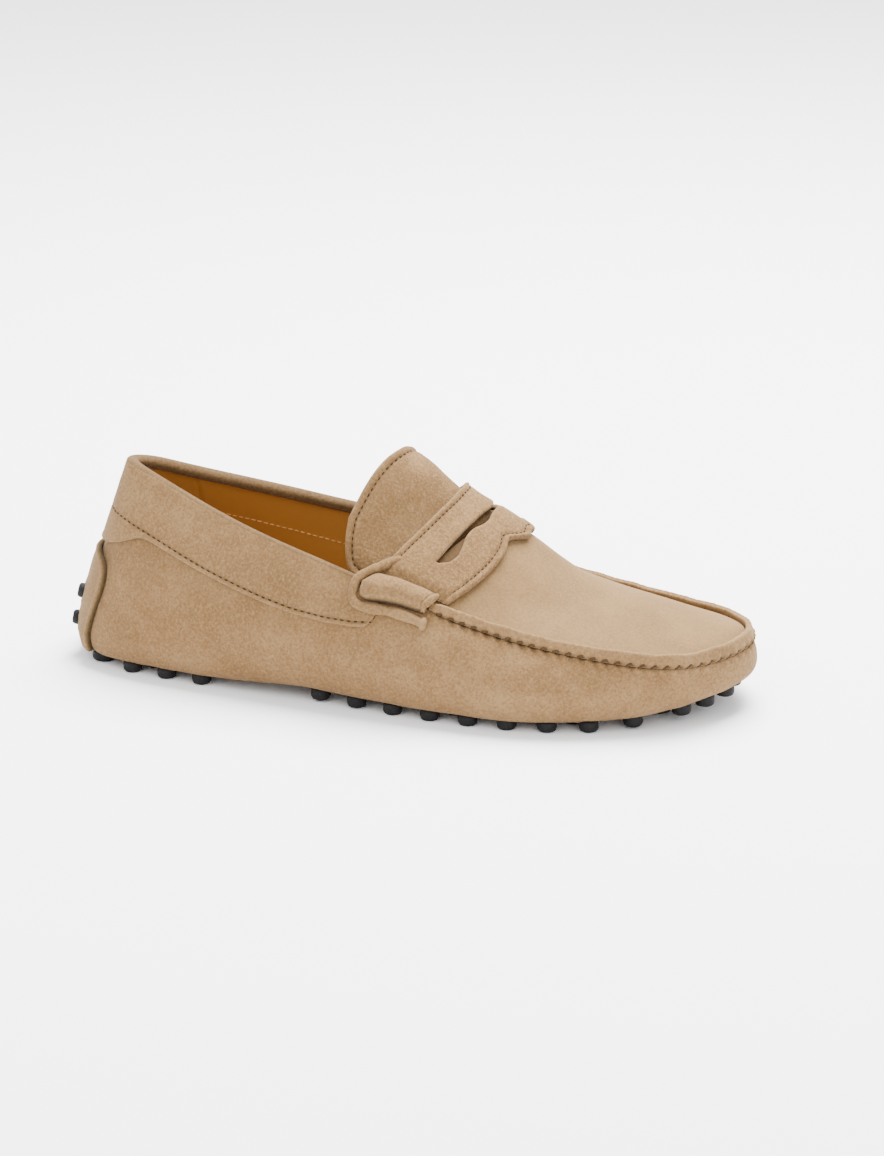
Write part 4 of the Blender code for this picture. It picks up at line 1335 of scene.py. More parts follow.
@dataclass
class ApronSeam(SubAssembly):
    """The raised seam round the apron: two turned-up suede edges sewn together by hand."""

    seam: Seam
    height: float = 4.6
    toe_rise: float = 1.0
    half: float = 1.3

    def build(self) -> None:
        """Make the ridge and its stitches."""
        rows, sides, places, run = self.seam.line()
        corner, normal, up = LAST.wall_frame(places, np.ones_like(places))
        inward = unit(LAST.instep(rows, sides * 0.97) - LAST.instep(rows, sides * 0.995))
        tip = np.abs(rows - TIP_ROW) < 0.35    # the instep's rows run together there
        inward[tip] = unit(INSIDE - corner[tip])
        rise = unit(up + np.array((0.0, 0.0, 1.1)))
        for _ in range(30):
            rise = unit(smoothed(rise, 1))
        flat = unit(np.cross(np.gradient(corner, axis=0), rise))
        outward = flat * np.sign((flat * normal).sum(-1, keepdims=True))
        ends = np.clip(np.minimum(run, run[-1] - run) / 5, 0, 1) ** 0.5
        toe = hump(run - run[-1] / 2, 70)
        height = (self.height + self.toe_rise * toe) * (0.55 + 0.45 * ends)
        height = height + uneven(corner, 41, (0.16, 11), (0.05, 3))
        half = self.half * (0.7 + 0.3 * ends)
        beat = self.seam.beat(run)
        rings, rims, ridge_shade_rows = [], [], []
        for share, wide in RIDGE:
            low = hump(np.array(share - 0.1), 0.2)
            puff = 1 + (0.75 * (beat - 0.45) * low if wide > 0 else 0.0)
            ring = corner + rise * (height * share)[:, None]
            ring = ring + outward * (half * wide * puff)[:, None]
            fray = 0.06 * drift(ring, 1.6, 43) * (share > 0.8)
            rings.append(ring + outward * fray[:, None])
            rims.append(np.full(len(run), 0.75 * hump(np.array(share - 0.97), 0.12)))
            # Painted shade at the foot of the ridge, strongest at the stitches.
            painted_deep_shade = hump(np.array(share), 0.13) * (1.0 - 0.55 * beat if wide > 0 else 0.5)
            ridge_shade_rows.append(painted_deep_shade * np.ones(len(run)))
        outer = np.stack(rings, 0)
        inner = corner[None] + 0.25 * (outer - corner[None]) + rise[None] * 0.2
        marks = {"rim": np.stack(rims), "painted_shade": np.stack(ridge_shade_rows)}
        self.keep(skin("seam_ridge", outer, inner, RIDGE_SUEDE, marks=marks), "apron_seam")
        line = corner + outward * (half * 1.02)[:, None] + rise * 0.15
        sewn = (run > 2) & (run < run[-1] - 2)
        self.keep(stitch_line("seam_stitches", line[sewn], outward[sewn], self.seam.stitch, THREAD))


@dataclass
class Tongue(SubAssembly):
    """Suede tongue with its pinhole border."""

    reach: tuple[tuple[float, float], ...] = ((0.0, 0.77), (0.17, 0.805), (0.28, 0.842), (0.45, 0.886),
                                              (0.8, 0.95), (1.1, 0.97), (1.7, 0.975), (2.6, 0.975))
    round_rows: float = 0.17     # rows by which the corners start lower
    corner: float = 6.0
    lean: float = 0.13           # rows by which the inner side starts lower
    end_row: float = 2.55
    puff: float = 2.2
    tuck_rows: tuple[float, float] = (1.82, 1.99)
    drop: float = 2.8
    wall: float = 2.0
    border: float = 3.0
    stitch: Stitch = Stitch(2.6, 1.35, 0.62)

    def build(self) -> None:
        """Make the tongue and its stitches."""
        u = 2 * graded(130, 0.75) - 1
        down = np.concatenate([0.28 * np.linspace(0, 1, 40) ** 1.4,
                               0.28 + 0.72 * np.linspace(0, 1, 42)[1:]])
        start = self.round_rows * np.abs(u) ** self.corner + self.lean * soft_step(u, -0.1, 0.5) - 0.01
        s = start[None] + (self.end_row - start[None]) * down[:, None]
        rows = np.array(self.reach)
        v = u[None] * Spline(rows[:, 0], rows[:, 1:])(s)[..., 0]
        points = LAST.instep(s, v)
        normals = grid_normals(points)
        puff = self.puff * soft_step(s, 0.0, 0.5) * (1 - 0.65 * soft_step(s, *self.tuck_rows))
        puff = puff * np.clip(1 - (v / 0.88) ** 2, 0, 1) ** 0.8
        puff -= 1.2 * soft_step(np.abs(v), 0.86, 0.95)
        points = points + normals * puff[..., None]
        edge = border_distance(points)
        relief = uneven(points, 51, (0.15, 40), (0.04, 10))
        relief += 0.22 * hump(edge - 1.2, 0.9) - 0.4 * hump(edge - self.border, 0.55)
        relief -= round_over(edge, 0.9)
        top = points - normals * self.drop
        # Painted shade where the tongue runs under the strap, and along its line of stitches.
        shade = 0.45 * soft_step(s, 1.45, 1.7)
        marks = {"rim": 0.5 * hump(edge, 0.5), "painted_shade": 0.35 * hump(edge - self.border, 0.6) + shade}
        outer = top + normals * relief[..., None]
        inner = top - normals * (self.wall - 0.6 * round_over(edge, 0.9))[..., None]
        self.keep(skin("tongue_suede", outer, inner, SHADED_TONGUE_SUEDE, marks=marks), "tongue")
        line = rim_line(edge, self.border)
        self.keep(stitch_line("tongue_stitches", sample(outer, line), sample(normals, line),
                              self.stitch, DARK_THREAD))


def rim_line(edge: Array, distance: float) -> Array:
    """Grid places at a distance inside a border that runs up one side, over the top and down.

    Args:
        edge: Distance of each grid point from the border.
        distance: The distance wanted.

    Returns:
        Row and column numbers along the line.
    """
    rows, columns = edge.shape
    middle = columns // 2
    left, right, over = [], [], []
    first = None
    for r in range(rows - 6, 0, -1):
        inside = np.nonzero(edge[r, :middle] < distance)[0]
        if edge[r, middle] > distance and len(inside):
            c = inside[-1]
            part = (distance - edge[r, c]) / max(edge[r, c + 1] - edge[r, c], 1e-6)
            left.append((r, c + min(part, 1.0)))
            first = r
    for r, _ in left:
        inside = np.nonzero(edge[r, middle:] < distance)[0]
        if len(inside):
            c = middle + inside[0]
            part = (distance - edge[r, c]) / max(edge[r, c - 1] - edge[r, c], 1e-6)
            right.append((r, c - min(part, 1.0)))
    start, end = (left[-1][1], right[-1][1]) if first else (0, columns - 1)
    for c in range(int(start) + 1, int(end)):
        near = np.nonzero(edge[: rows // 2, c] < distance)[0]
        near = near[near < (first or rows) + 2]
        if len(near):
            r = near[-1]
            part = (distance - edge[r, c]) / max(edge[r + 1, c] - edge[r, c], 1e-6)
            over.append((r + min(max(part, 0.0), 1.0), c))
    return np.array(left + over + right[::-1], float)


class StrapRow(NamedTuple):
    """Edges of the strap and its slot in rows of the instep, at a share of the way across."""

    across: float
    back: float
    slot_back: float
    slot_front: float
    front: float


STRAP = {
    "crest": StrapRow(0.00, 0.955, 1.79, 1.88, 2.82),
    "bump": StrapRow(0.10, 0.97, 1.785, 1.92, 2.93),
    "bump side": StrapRow(0.18, 1.01, 1.785, 2.02, 2.80),
    "scallop": StrapRow(0.26, 1.05, 1.825, 2.04, 2.67),
    "neck": StrapRow(0.36, 1.10, 1.865, 1.97, 2.83),
    "belly": StrapRow(0.44, 1.15, 1.905, 2.02, 2.90),
    "belly side": StrapRow(0.53, 1.21, 1.95, 2.17, 2.95),
    "slot foot": StrapRow(0.61, 1.26, 2.00, 2.28, 2.975),
    "slot heel": StrapRow(0.68, 1.30, 2.04, 2.26, 2.985),
    "slot end": StrapRow(0.715, 1.32, 2.06, 2.12, 2.985),
    "side": StrapRow(0.80, 1.38, 2.10, 2.15, 2.98),
    "end": StrapRow(0.93, 1.44, 2.14, 2.18, 2.92),
}


@dataclass
class PennyStrap(SubAssembly):
    """Strap over the instep, with its slot and folded borders."""

    slot_reach: float = 0.715
    wall: float = 2.4
    end: float = 0.93
    tuck_from: float = 0.85
    sewn_to: float = 0.86
    back_border: float = 2.6
    front_border: float = 3.0
    stitch: Stitch = Stitch(2.2, 1.25, 0.55)

    def build(self) -> None:
        """Make the strap and its stitches."""
        rows = rows_of(STRAP)
        v = np.concatenate([np.linspace(-self.end, -self.slot_reach, 24)[:-1],
                            self.slot_reach * (2 * graded(150, 0.5) - 1),
                            np.linspace(self.slot_reach, self.end, 24)[1:]])
        edges = [np.interp(np.abs(v), rows[:, 0], column) for column in rows[:, 1:].T]
        back, slot_back, slot_front, front = [smoothed(edge, 5) for edge in edges]
        share = graded(26, 0.7)[:, None]
        s = np.concatenate([back + (slot_back - back) * share, slot_front + (front - slot_front) * share])
        points = LAST.instep(s, v[None])
        normals = grid_normals(points)
        cells = every_cell(points)
        cells[len(share) - 1] = np.abs(v[1:] + v[:-1]) / 2 > self.slot_reach
        edge = border_distance(points, cells)
        from_back = run_along(points, 0)
        from_front = from_back[-1] - from_back
        relief = uneven(points, 61, (0.10, 24), (0.05, 7))
        relief += 0.25 * hump(from_back - 1.0, 1.0) - 0.45 * hump(from_back - self.back_border, 0.6)
        relief += 0.55 * hump(from_front - 1.1, 1.1) - 0.6 * hump(from_front - self.front_border, 0.6)
        relief -= round_over(edge, 1.1)
        tuck = np.clip((np.abs(v) - self.tuck_from) / (self.end - self.tuck_from), 0, 1)[None]
        thick = (self.wall + relief) * (1 - 0.75 * tuck)
        outer = points + normals * (GAP + thick)[..., None]
        inner = points + normals * (GAP + 0.4 * round_over(edge, 1.1))[..., None]
        # Painted shade along both lines of stitches, and on the face behind where the strap lies over
        # tongue and apron.
        sewn = hump(from_back - self.back_border, 0.6) + hump(from_front - self.front_border, 0.6)
        marks = {"rim": 0.5 * hump(edge, 0.6), "painted_shade": 0.35 * sewn}
        piece = skin("strap_suede", outer, inner, STRAP_SUEDE, cells=cells, marks=marks, underside_shade=0.8)
        self.keep(piece, "strap")
        for name, run, distance in (("back", from_back, self.back_border),
                                    ("front", from_front, self.front_border)):
            places = []
            for c in np.nonzero(np.abs(v) < self.sewn_to)[0]:
                order = np.argsort(run[:, c])
                places.append((np.interp(distance, run[order, c], order), c))
            places = np.array(places, float)
            self.keep(stitch_line(f"strap_stitches_{name}", sample(outer, places),
                                  sample(normals, places), self.stitch, DARK_THREAD))


class LobeRow(NamedTuple):
    """Lobe of the rolled strap end: place along the top edge, upper and lower border, bulge."""

    top_x: float
    high: float
    low: float
    bulge: float


LOBE = {
    "point": LobeRow(129.3, 2.2, 4.9, 0.3),
    "curl": LobeRow(130.6, -2.2, 5.4, 1.9),
    "shoulder": LobeRow(133.5, -4.8, 5.2, 3.9),
    "crown": LobeRow(139.0, -5.6, 3.8, 4.9),
    "middle": LobeRow(145.0, -6.0, 2.8, 4.7),
    "neck": LobeRow(150.5, -6.2, 2.4, 4.0),
    "front": LobeRow(155.0, -5.8, 2.0, 3.2),
}


class StrandRow(NamedTuple):
    """Middle line of a rolled border: along the top edge, down from it, its lift and half thickness."""

    top_x: float
    down: float
    lift: float
    thick: float


CURL = tuple(StrandRow(*row) for row in (
    (133.5, -14.0, 3.4, 1.0), (131.4, -10.5, 3.8, 1.6), (130.4, -7.0, 3.9, 1.9), (128.9, -4.0, 3.9, 1.9),
    (128.0, -1.0, 3.7, 1.9), (127.1, 2.4, 3.6, 1.9), (126.6, 5.4, 3.5, 1.9), (127.6, 7.6, 3.6, 1.9),
    (130.6, 8.1, 3.7, 2.0), (135.0, 7.3, 3.7, 2.1), (140.0, 6.2, 3.5, 2.1), (145.0, 5.5, 3.3, 2.1),
    (150.0, 5.2, 3.1, 2.0), (154.6, 5.2, 2.8, 1.8)))
LIPS = {
    "lobe": (StrandRow(154.8, 1.9, 2.3, 1.5), StrandRow(155.4, -0.6, 3.7, 1.7),
             StrandRow(155.8, -3.2, 4.1, 1.7), StrandRow(155.8, -5.6, 3.1, 1.4)),
    "border": (StrandRow(154.3, 7.6, 1.6, 1.3), StrandRow(155.0, 5.4, 2.5, 1.7),
               StrandRow(155.8, 3.2, 2.2, 1.4)),
}


@dataclass
class StrapRoll(SubAssembly):
    """Rolled end of the strap on one side: a puffy lobe, the border that curls round it, two ends."""

    side: Side
    node: str
    curl_sink: float = 1.6
    lip_sink: float = 0.4
    strand_sides: int = 24
    steps: int = 200

    def _name(self, part: str) -> str:
        """Name of a piece of this side."""
        return f"strap_{part}_{self.side.name.lower()}"

    def build(self) -> None:
        """Make the pieces."""
        self._lobe()
        self._curl()
        self._lips()

    def _skin_frame(self, top_x: Array, down: Array) -> tuple[Array, Array]:
        """Points and normals of the form near the top edge, smoothed over it.

        Args:
            top_x: Where the top edge is, along the sheet.
            down: Millimetres down from the top edge.

        Returns:
            Points and outward normals.
        """
        point = LAST.over_edge(top_x, self.side, down)
        ahead = LAST.over_edge(top_x + 0.6, self.side, down) - LAST.over_edge(top_x - 0.6, self.side, down)
        across = LAST.over_edge(top_x, self.side, down + 3.0) - LAST.over_edge(top_x, self.side, down - 3.0)
        return point, outwards(point, unit(np.cross(ahead, across)))

    def _lobe(self) -> None:
        """The lobe, a rolled pad of suede."""
        table = rows_of(LOBE)
        top_x = np.interp(graded(90, 0.5), np.linspace(0, 1, len(table)), table[:, 0])
        rows = Spline(table[:, 0], table[:, 1:])(top_x)
        high, low, bulge = np.moveaxis(rows, -1, 0)
        share = graded(54, 0.7)
        down = low[:, None] + (high - low)[:, None] * share[None]
        point, normal = self._skin_frame(np.broadcast_to(top_x[:, None], down.shape), down)
        edge = border_distance(point)
        lean = np.sin(share * pi).clip(0) ** 0.55 * (1.0 - 0.25 * (share - 0.45))
        lift = 1.2 + bulge[:, None] * lean[None]
        base = np.interp(top_x, (129, 138, 146), (1.6, 1.2, 0.5))[:, None]
        lift = lift + base + 0.12 * drift(point, 9, 71) - 0.9 * round_over(edge, 1.2)
        outer = point + normal * lift[..., None]
        inner = point + normal * (base[..., None] * np.ones_like(outer[..., :1]))
        # Painted shade round the lobe's border and on its face behind; the rim mark lightens a band just
        # inside the border.
        marks = {"rim": 0.3 * hump(edge - 1.2, 0.8), "painted_shade": 0.9 * hump(edge, 0.7)}
        piece = skin(self._name("lobe"), outer, inner, BAND_SUEDE, marks=marks, underside_shade=1.0)
        self.keep(piece, self.node)

    def _curl(self) -> None:
        """The strap's border, which curls round the lobe and runs on under it."""
        table = np.array(CURL)
        knots = run_along(table[:, None, :2], 0)[:, 0]
        places = np.linspace(0, knots[-1], self.steps)
        rows = Spline(knots, table)(places)
        point, normal = self._skin_frame(rows[:, 0], rows[:, 1])
        line = point + normal * (rows[:, 2] - self.curl_sink)[:, None]
        thick = rows[:, 3] * (1 + 0.05 * drift(line, 5, 72))
        taper = np.clip(places / 2.0, 0.15, 1)
        outer, inner = tube(line, normal, thick, 1.05 * thick * taper, self.strand_sides, 0.8)
        # Painted shade on the underside of the curled border.
        under = np.clip(-np.sin(np.arange(self.strand_sides) * 2 * pi / self.strand_sides) - 0.05, 0, 1)
        zero = np.zeros(outer.shape[:2])
        marks = {"rim": zero + 0.15, "painted_shade": zero + 0.85 * under[None] ** 0.5}
        self.keep(skin(self._name("curl"), outer, inner, BAND_SUEDE, wrap=True, marks=marks), self.node)

    def _lips(self) -> None:
        """Folded front ends of the lobe and of the border below it."""
        for part, rows in LIPS.items():
            knots = np.arange(len(rows), dtype=float)
            path = Spline(knots, np.array(rows))(np.linspace(0, knots[-1], 40))
            point, normal = self._skin_frame(path[:, 0], path[:, 1])
            line = point + normal * (path[:, 2] - self.lip_sink)[:, None]
            thick = path[:, 3] * np.sin(np.linspace(0.04, 0.96, 40) * pi) ** 0.35
            outer, inner = tube(line, normal, 0.9 * thick, 1.25 * thick, 20)
            zero = np.zeros(outer.shape[:2])
            marks = {"rim": zero + 0.35, "painted_shade": zero}
            self.keep(skin(self._name(f"{part}_end"), outer, inner, BAND_SUEDE, wrap=True, marks=marks))


class BandRow(NamedTuple):
    """Topline band: x of the topline, height of its lower edge and of its stitches."""

    top_x: float
    low: float
    stitch: float


BAND = {
    "tab middle": BandRow(19, 48.6, 63.4),
    "tab side": BandRow(23, 49.4, 63.0),
    "tab corner": BandRow(27.6, 51.6, 62.3),
    "tab top": BandRow(35.2, 56.2, 59.9),
    "dip": BandRow(38.2, 56.0, 58.9),
    "quarter back": BandRow(46, 53.3, 56.1),
    "quarter": BandRow(55, 50.2, 52.9),
    "quarter front": BandRow(65, 47.2, 49.7),
    "waist back": BandRow(76, 44.3, 46.7),
    "waist": BandRow(90, 40.7, 43.1),
    "waist front": BandRow(103, 38.1, 40.4),
    "front back": BandRow(116, 36.6, 39.0),
    "front": BandRow(126, 36.5, 38.9),
    "front end": BandRow(136.8, 37.4, 39.8),
}


@dataclass
class CollarBand(SubAssembly):
    """Topline band with its back tab, folded over the rim into the shoe."""

    wall: float = 1.2
    fold: float = 2.2
    fold_end_x: float = 128.0
    corner_length: float = 7.0
    corner_rise: float = 0.20
    stitch: Stitch = Stitch(2.9, 1.5, 0.6)

    def _layers(self, t: Array, h: Array) -> tuple[Array, Array]:
        """Outer and inner face of the band, up the wall at h, over the rim and down inside it.

        Args:
            t: Places round the wall.
            h: Heights on the wall, a row for each step up.

        Returns:
            Outer and inner face, up the wall, over the rim and down inside it.
        """
        point, normal, _ = LAST.wall_frame(np.broadcast_to(t, h.shape), h)
        outside, behind = [point + normal * (GAP + self.wall)], [point + normal * GAP]
        rim, rim_normal, rim_up = LAST.wall_frame(t, np.ones_like(t))
        middle = rim - rim_normal * (UPPER_WALL / 2)
        reach = UPPER_WALL / 2 + GAP
        for angle in np.linspace(0, pi, 13)[1:-1]:
            for layer, wide, tall in ((outside, reach + self.wall, 2.1), (behind, reach, 0.9)):
                layer.append((middle + rim_normal * wide * cos(angle) + rim_up * tall * sin(angle))[None])
        tenth = np.linalg.norm(LAST.wall(t, 0.9) - LAST.wall(t, 1.0), axis=-1)
        for depth in np.linspace(0, self.fold, 9):
            point, normal, _ = LAST.wall_frame(t, 1.0 - 0.1 * depth / tenth)
            outside.append((point - normal * (UPPER_WALL + GAP + self.wall))[None])
            behind.append((point - normal * (UPPER_WALL + GAP))[None])
        return np.concatenate(outside), np.concatenate(behind)

    def build(self) -> None:
        """Make the band and its stitches."""
        front = BAND["front end"].top_x
        first = LAST.side_at(front, Side.INNER) - 1.0    # one turn back, to pass over the heel
        last = LAST.side_at(front, Side.OUTER)
        t = first + (last - first) * graded(500, 0.35)
        row = LAST.row(t)
        table = rows_of(BAND)
        low_z = smoothed(np.interp(row.top_x, table[:, 0], table[:, 1]), 8)
        stitch_z = smoothed(np.interp(row.top_x, table[:, 0], table[:, 2]), 14)
        low = LAST.height(t, low_z)
        ends = np.clip(1 - (front - row.top_x) / self.corner_length, 0, 1)
        low = low + self.corner_rise * (1 - np.sqrt(np.maximum(1 - ends ** 2, 0)))
        share = np.concatenate([0.3 * np.linspace(0, 1, 16) ** 1.2, 0.3 + 0.7 * np.linspace(0, 1, 24)[1:]])
        top, under = self._layers(t, low[None] + (1 - low[None]) * share[:, None])
        cells = every_cell(top)
        middle_x = (row.top_x[1:] + row.top_x[:-1]) / 2
        cells[len(share) - 2:, middle_x > self.fold_end_x] = False
        edge = border_distance(top, cells)
        outward = grid_normals(top)
        facing = unit(top - under)
        outward = outward * np.sign((outward * facing).sum(-1, keepdims=True))
        body = np.arange(len(top))[:, None] < len(share)
        from_low = run_along(top, 0)
        relief = uneven(top, 81, (0.16, 34), (0.04, 9)) * body
        sewn = hump(top[..., 2] - stitch_z, 0.6) * body
        relief += 0.28 * hump(from_low - 1.1, 0.9) * body - 0.42 * sewn
        relief -= round_over(edge, 0.95)
        outer = top + outward * relief[..., None]
        # Painted shade along the stitches, on the part folded inside the shoe and on the face behind.
        marks = {"rim": 0.35 * hump(edge, 0.6) * body, "painted_shade": 0.3 * sewn + 0.45 * ~body}
        piece = skin("collar_suede", outer, under, BAND_SUEDE, cells=cells, marks=marks, underside_shade=0.7)
        self.keep(piece, "collar")
        places = [(np.interp(stitch_z[c], top[:len(share), c, 2], np.arange(len(share))), c)
                  for c in range(3, len(t) - 3)]
        places = np.array(places, float)
        self.keep(stitch_line("collar_stitches", sample(outer, places), sample(outward, places),
                              self.stitch, DARK_THREAD))


class GuardRow(NamedTuple):
    """Heel guard: height and half width there."""

    z: float
    half: float


GUARD = {
    "top": GuardRow(45.3, 9.0),
    "shoulder": GuardRow(44.6, 13.0),
    "corner": GuardRow(43.0, 17.5),
    "side top": GuardRow(40.0, 20.4),
    "upper": GuardRow(36.0, 22.0),
    "middle": GuardRow(30.0, 23.2),
    "lower": GuardRow(15.7, 23.4),
    "bottom": GuardRow(6.2, 22.4),
}


@dataclass
class HeelGuard(SubAssembly):
    """Suede guard over the heel back with its four pebbles."""

    wall: float = 2.0
    pebbles: tuple[tuple[float, float], ...] = ((-9.5, 14.6), (9.5, 14.6), (-9.5, 26.2), (9.5, 26.2))
    pebble_radius: float = 3.1
    pebble_rise: float = 3.0

    def _place(self, y: Array, z: Array) -> tuple[Array, Array]:
        """Places round the heel where the wall is y to the side at height z, and their h.

        Args:
            y: Distance to the side.
            z: Height.

        Returns:
            Places round the wall, and heights on it.
        """
        around = np.linspace(-0.12, 0.12, 481)
        rise = np.linspace(0.0, 0.95, 400)
        found_t, found_h = np.zeros_like(y), np.zeros_like(y)
        for index in np.ndindex(y.shape):
            upright = max(z[index], LAST.row(0.0).girth + 4)
            line = LAST.wall(around, LAST.height(around, upright))
            found_t[index] = np.interp(y[index], line[::-1, 1], around[::-1])
            found_h[index] = np.interp(z[index], LAST.wall(found_t[index], rise)[:, 2], rise)
        return found_t, found_h

    def build(self) -> None:
        """Make the guard and its pebbles."""
        table = rows_of(GUARD)[::-1]
        z = table[0, 0] + (table[-1, 0] - table[0, 0]) * graded(46, 0.7)
        half = smoothed(np.interp(z, table[:, 0], table[:, 1]), 2)
        u = 2 * graded(44, 0.7) - 1
        y = half[:, None] * u[None]
        t, h = self._place(y, np.broadcast_to(z[:, None], y.shape))
        point, normal, _ = LAST.wall_frame(t, h)
        edge = border_distance(point)
        lift = GAP + self.wall + 0.5 * (1 - hump(edge, 4)) + 0.35 * hump(edge - 0.9, 0.9)
        lift = lift - round_over(edge, 1.0) + 0.1 * drift(point, 12, 91)
        for py, pz in self.pebbles:
            near = np.hypot(y - py, z[:, None] - pz)
            lift = lift + 0.35 * hump(near - self.pebble_radius - 0.9, 0.9)
        outer = point + normal * lift[..., None]
        inner = point + normal * 0.35
        # Painted shade at the guard's cut edge and on its face behind; the edge's darker olive tone is
        # partly the cut edge's own colour.
        marks = {"rim": 0.3 * hump(edge - 0.9, 0.6), "painted_shade": 0.8 * hump(edge, 0.3)}
        piece = skin("heel_guard_suede", outer, inner, GUARD_SUEDE, marks=marks, underside_shade=0.9)
        self.keep(piece, "heel_panel")
        spots = np.array(self.pebbles)
        t, h = self._place(spots[:, 0], spots[:, 1])
        point, normal, up = LAST.wall_frame(t, h)
        side = np.cross(up, normal)
        frames = np.stack([side, np.cross(normal, side), normal], 1)
        tall = GAP + self.wall + self.pebble_rise
        sizes = np.tile((self.pebble_radius, self.pebble_radius, tall), (len(spots), 1))
        piece = strew("heel_back_pebbles", PEBBLE_SHAPE, point, frames, sizes, RUBBER)
        self.keep(piece, "heel_back_studs", slot=Slot.RUBBER)


@dataclass
class Bottom(SubAssembly):
    """Suede bottom with the rubber pebbles of heel and forefoot, and the sock on top of it."""

    turn_in: float = 3.0
    sole_wall: float = 2.0
    sock_wall: float = 2.0
    sock_inset: float = 1.8
    plate: float = 1.25           # the suede hangs lower by this over a rubber unit
    pebble_height: float = 3.7
    pebble_radius: float = 3.9
    first_radius: float = 4.9
    row_step: float = 7.85
    across_step: float = 20.0
    inset: float = 3.6
    clear: float = 8.6
    heel_unit: tuple[float, float] = (12.0, 67.0)
    fore_unit: tuple[float, float] = (111.0, 245.0)
    toe_arcs: tuple[tuple[float, int], ...] = ((3.6, 6), (15.6, 4))
    shank: tuple[float, float] = (74.0, 105.0)

    def _pairs(self, inset: float, count: int = 120) -> tuple[Array, Array]:
        """Outer and inner points of the bottom edge, heel to toe.

        Args:
            inset: Millimetres in from the edge.
            count: Points on each side.

        Returns:
            Outer and inner points.
        """
        share = np.linspace(0, 1, count)
        outer = LAST.wall(share * LAST.tip_at, -inset)
        inner = LAST.wall(1 - share * (1 - LAST.tip_at), -inset)
        return outer, inner

    def _height(self, x: Array, y: Array) -> Array:
        """Height of the bottom over points of the floor.

        Args:
            x: Place along the shoe.
            y: Place across it.

        Returns:
            One height for each place.
        """
        outer, inner = self._pairs(self.turn_in, 60)
        outer, inner = outer[1:-1], inner[1:-1]
        part = (np.asarray(y)[..., None] - outer[:, 1]) / (inner[:, 1] - outer[:, 1])
        along = outer[:, 0] + (inner[:, 0] - outer[:, 0]) * part
        heights = outer[:, 2] + (inner[:, 2] - outer[:, 2]) * part
        flat_along, flat_heights = along.reshape(-1, along.shape[-1]), heights.reshape(-1, along.shape[-1])
        flat_x = np.asarray(x, float).ravel()
        found = []
        for place, line, level in zip(flat_x, flat_along, flat_heights):
            k = int(np.clip(np.searchsorted(line, place), 1, len(line) - 1))
            slope = (level[k] - level[k - 1]) / (line[k] - line[k - 1])
            found.append(level[k] + slope * (place - line[k]))
        return np.array(found).reshape(np.shape(x))

    def _spots(self, first: float, last: float, arcs: Sequence[tuple[float, int]]) -> Array:
        """Middles of the pebbles of one unit: staggered rows, and arcs round the toe.

        Args:
            first: First row, along the shoe.
            last: Place that the rows end before.
            arcs: Inset and count of pebbles of each arc round the toe.

        Returns:
            Middles of the pebbles on the floor.
        """
        outer, inner = self._pairs(self.inset, 400)
        spots = []
        for row in range(int((last - first) / self.row_step) + 1):
            x = first + row * self.row_step
            left = np.array([x, np.interp(x, outer[:, 0], outer[:, 1])])
            right = np.array([x, np.interp(x, inner[:, 0], inner[:, 1])])
            gaps = max(round((right[1] - left[1]) / self.across_step), 1)
            shift = 0.5 * (row % 2)
            shares = (np.arange(gaps + 1 - row % 2) + shift) / gaps
            spots += [left + (right - left) * share for share in shares]
        for inset, count in arcs:
            ring = LAST.wall(np.linspace(0.3, 0.75, 2000), -inset)
            ring = ring[ring[:, 0] > last + self.row_step]
            run = run_along(ring[:, None], 0)[:, 0]
            index = np.interp(np.linspace(0, run[-1], count), run, np.arange(len(ring)))
            spots += list(pick(ring, index)[:, :2])
        kept: list[Array] = []
        for spot in spots:
            if all(np.linalg.norm(spot - other) > self.clear for other in kept):
                kept.append(spot)
        return np.array(kept)

    def build(self) -> None:
        """Make sole, sock and pebbles."""
        units = {"heel_pebbles": (self._spots(*self.heel_unit, ()), "heel_studs"),
                 "forefoot_pebbles": (self._spots(*self.fore_unit, self.toe_arcs), "forefoot_studs")}
        everywhere = np.concatenate([spots for spots, _ in units.values()])
        self._sole(everywhere)
        self._sock()
        for name, (spots, node) in units.items():
            height = self._height(spots[:, 0], spots[:, 1])
            flat = np.maximum(0.02, height - (self.pebble_height + 1.1) - 0.4)
            tops = height - 0.2
            middles = np.column_stack([spots, tops])
            down = np.array((0.0, 0.0, -1.0))
            frames = np.tile(np.array([(1.0, 0, 0), (0, -1.0, 0), down]), (len(spots), 1, 1))
            radius = np.where(spots[:, 0] < self.heel_unit[0] + 1, self.first_radius, self.pebble_radius)
            sizes = np.column_stack([radius, radius, tops - flat])
            piece = strew(name, PEBBLE_SHAPE, middles, frames, sizes, RUBBER)
            self.keep(piece, node, slot=Slot.RUBBER)

    def _sheet(self, inset: float, rows: int, columns: int) -> tuple[Array, Array, Array]:
        """Grid of points across the bottom, its height there and their distance from its edge.

        Args:
            inset: Millimetres in from the edge.
            rows: Rows of points along the shoe.
            columns: Points across it.

        Returns:
            Points, heights of the bottom and distances from its edge.
        """
        outer, inner = self._pairs(inset, rows)
        plan = (outer[:, None] + (inner - outer)[:, None] * graded(columns, 0.5)[None, :, None])[2:-2]
        return plan, self._height(plan[..., 0], plan[..., 1]), from_sides(plan)

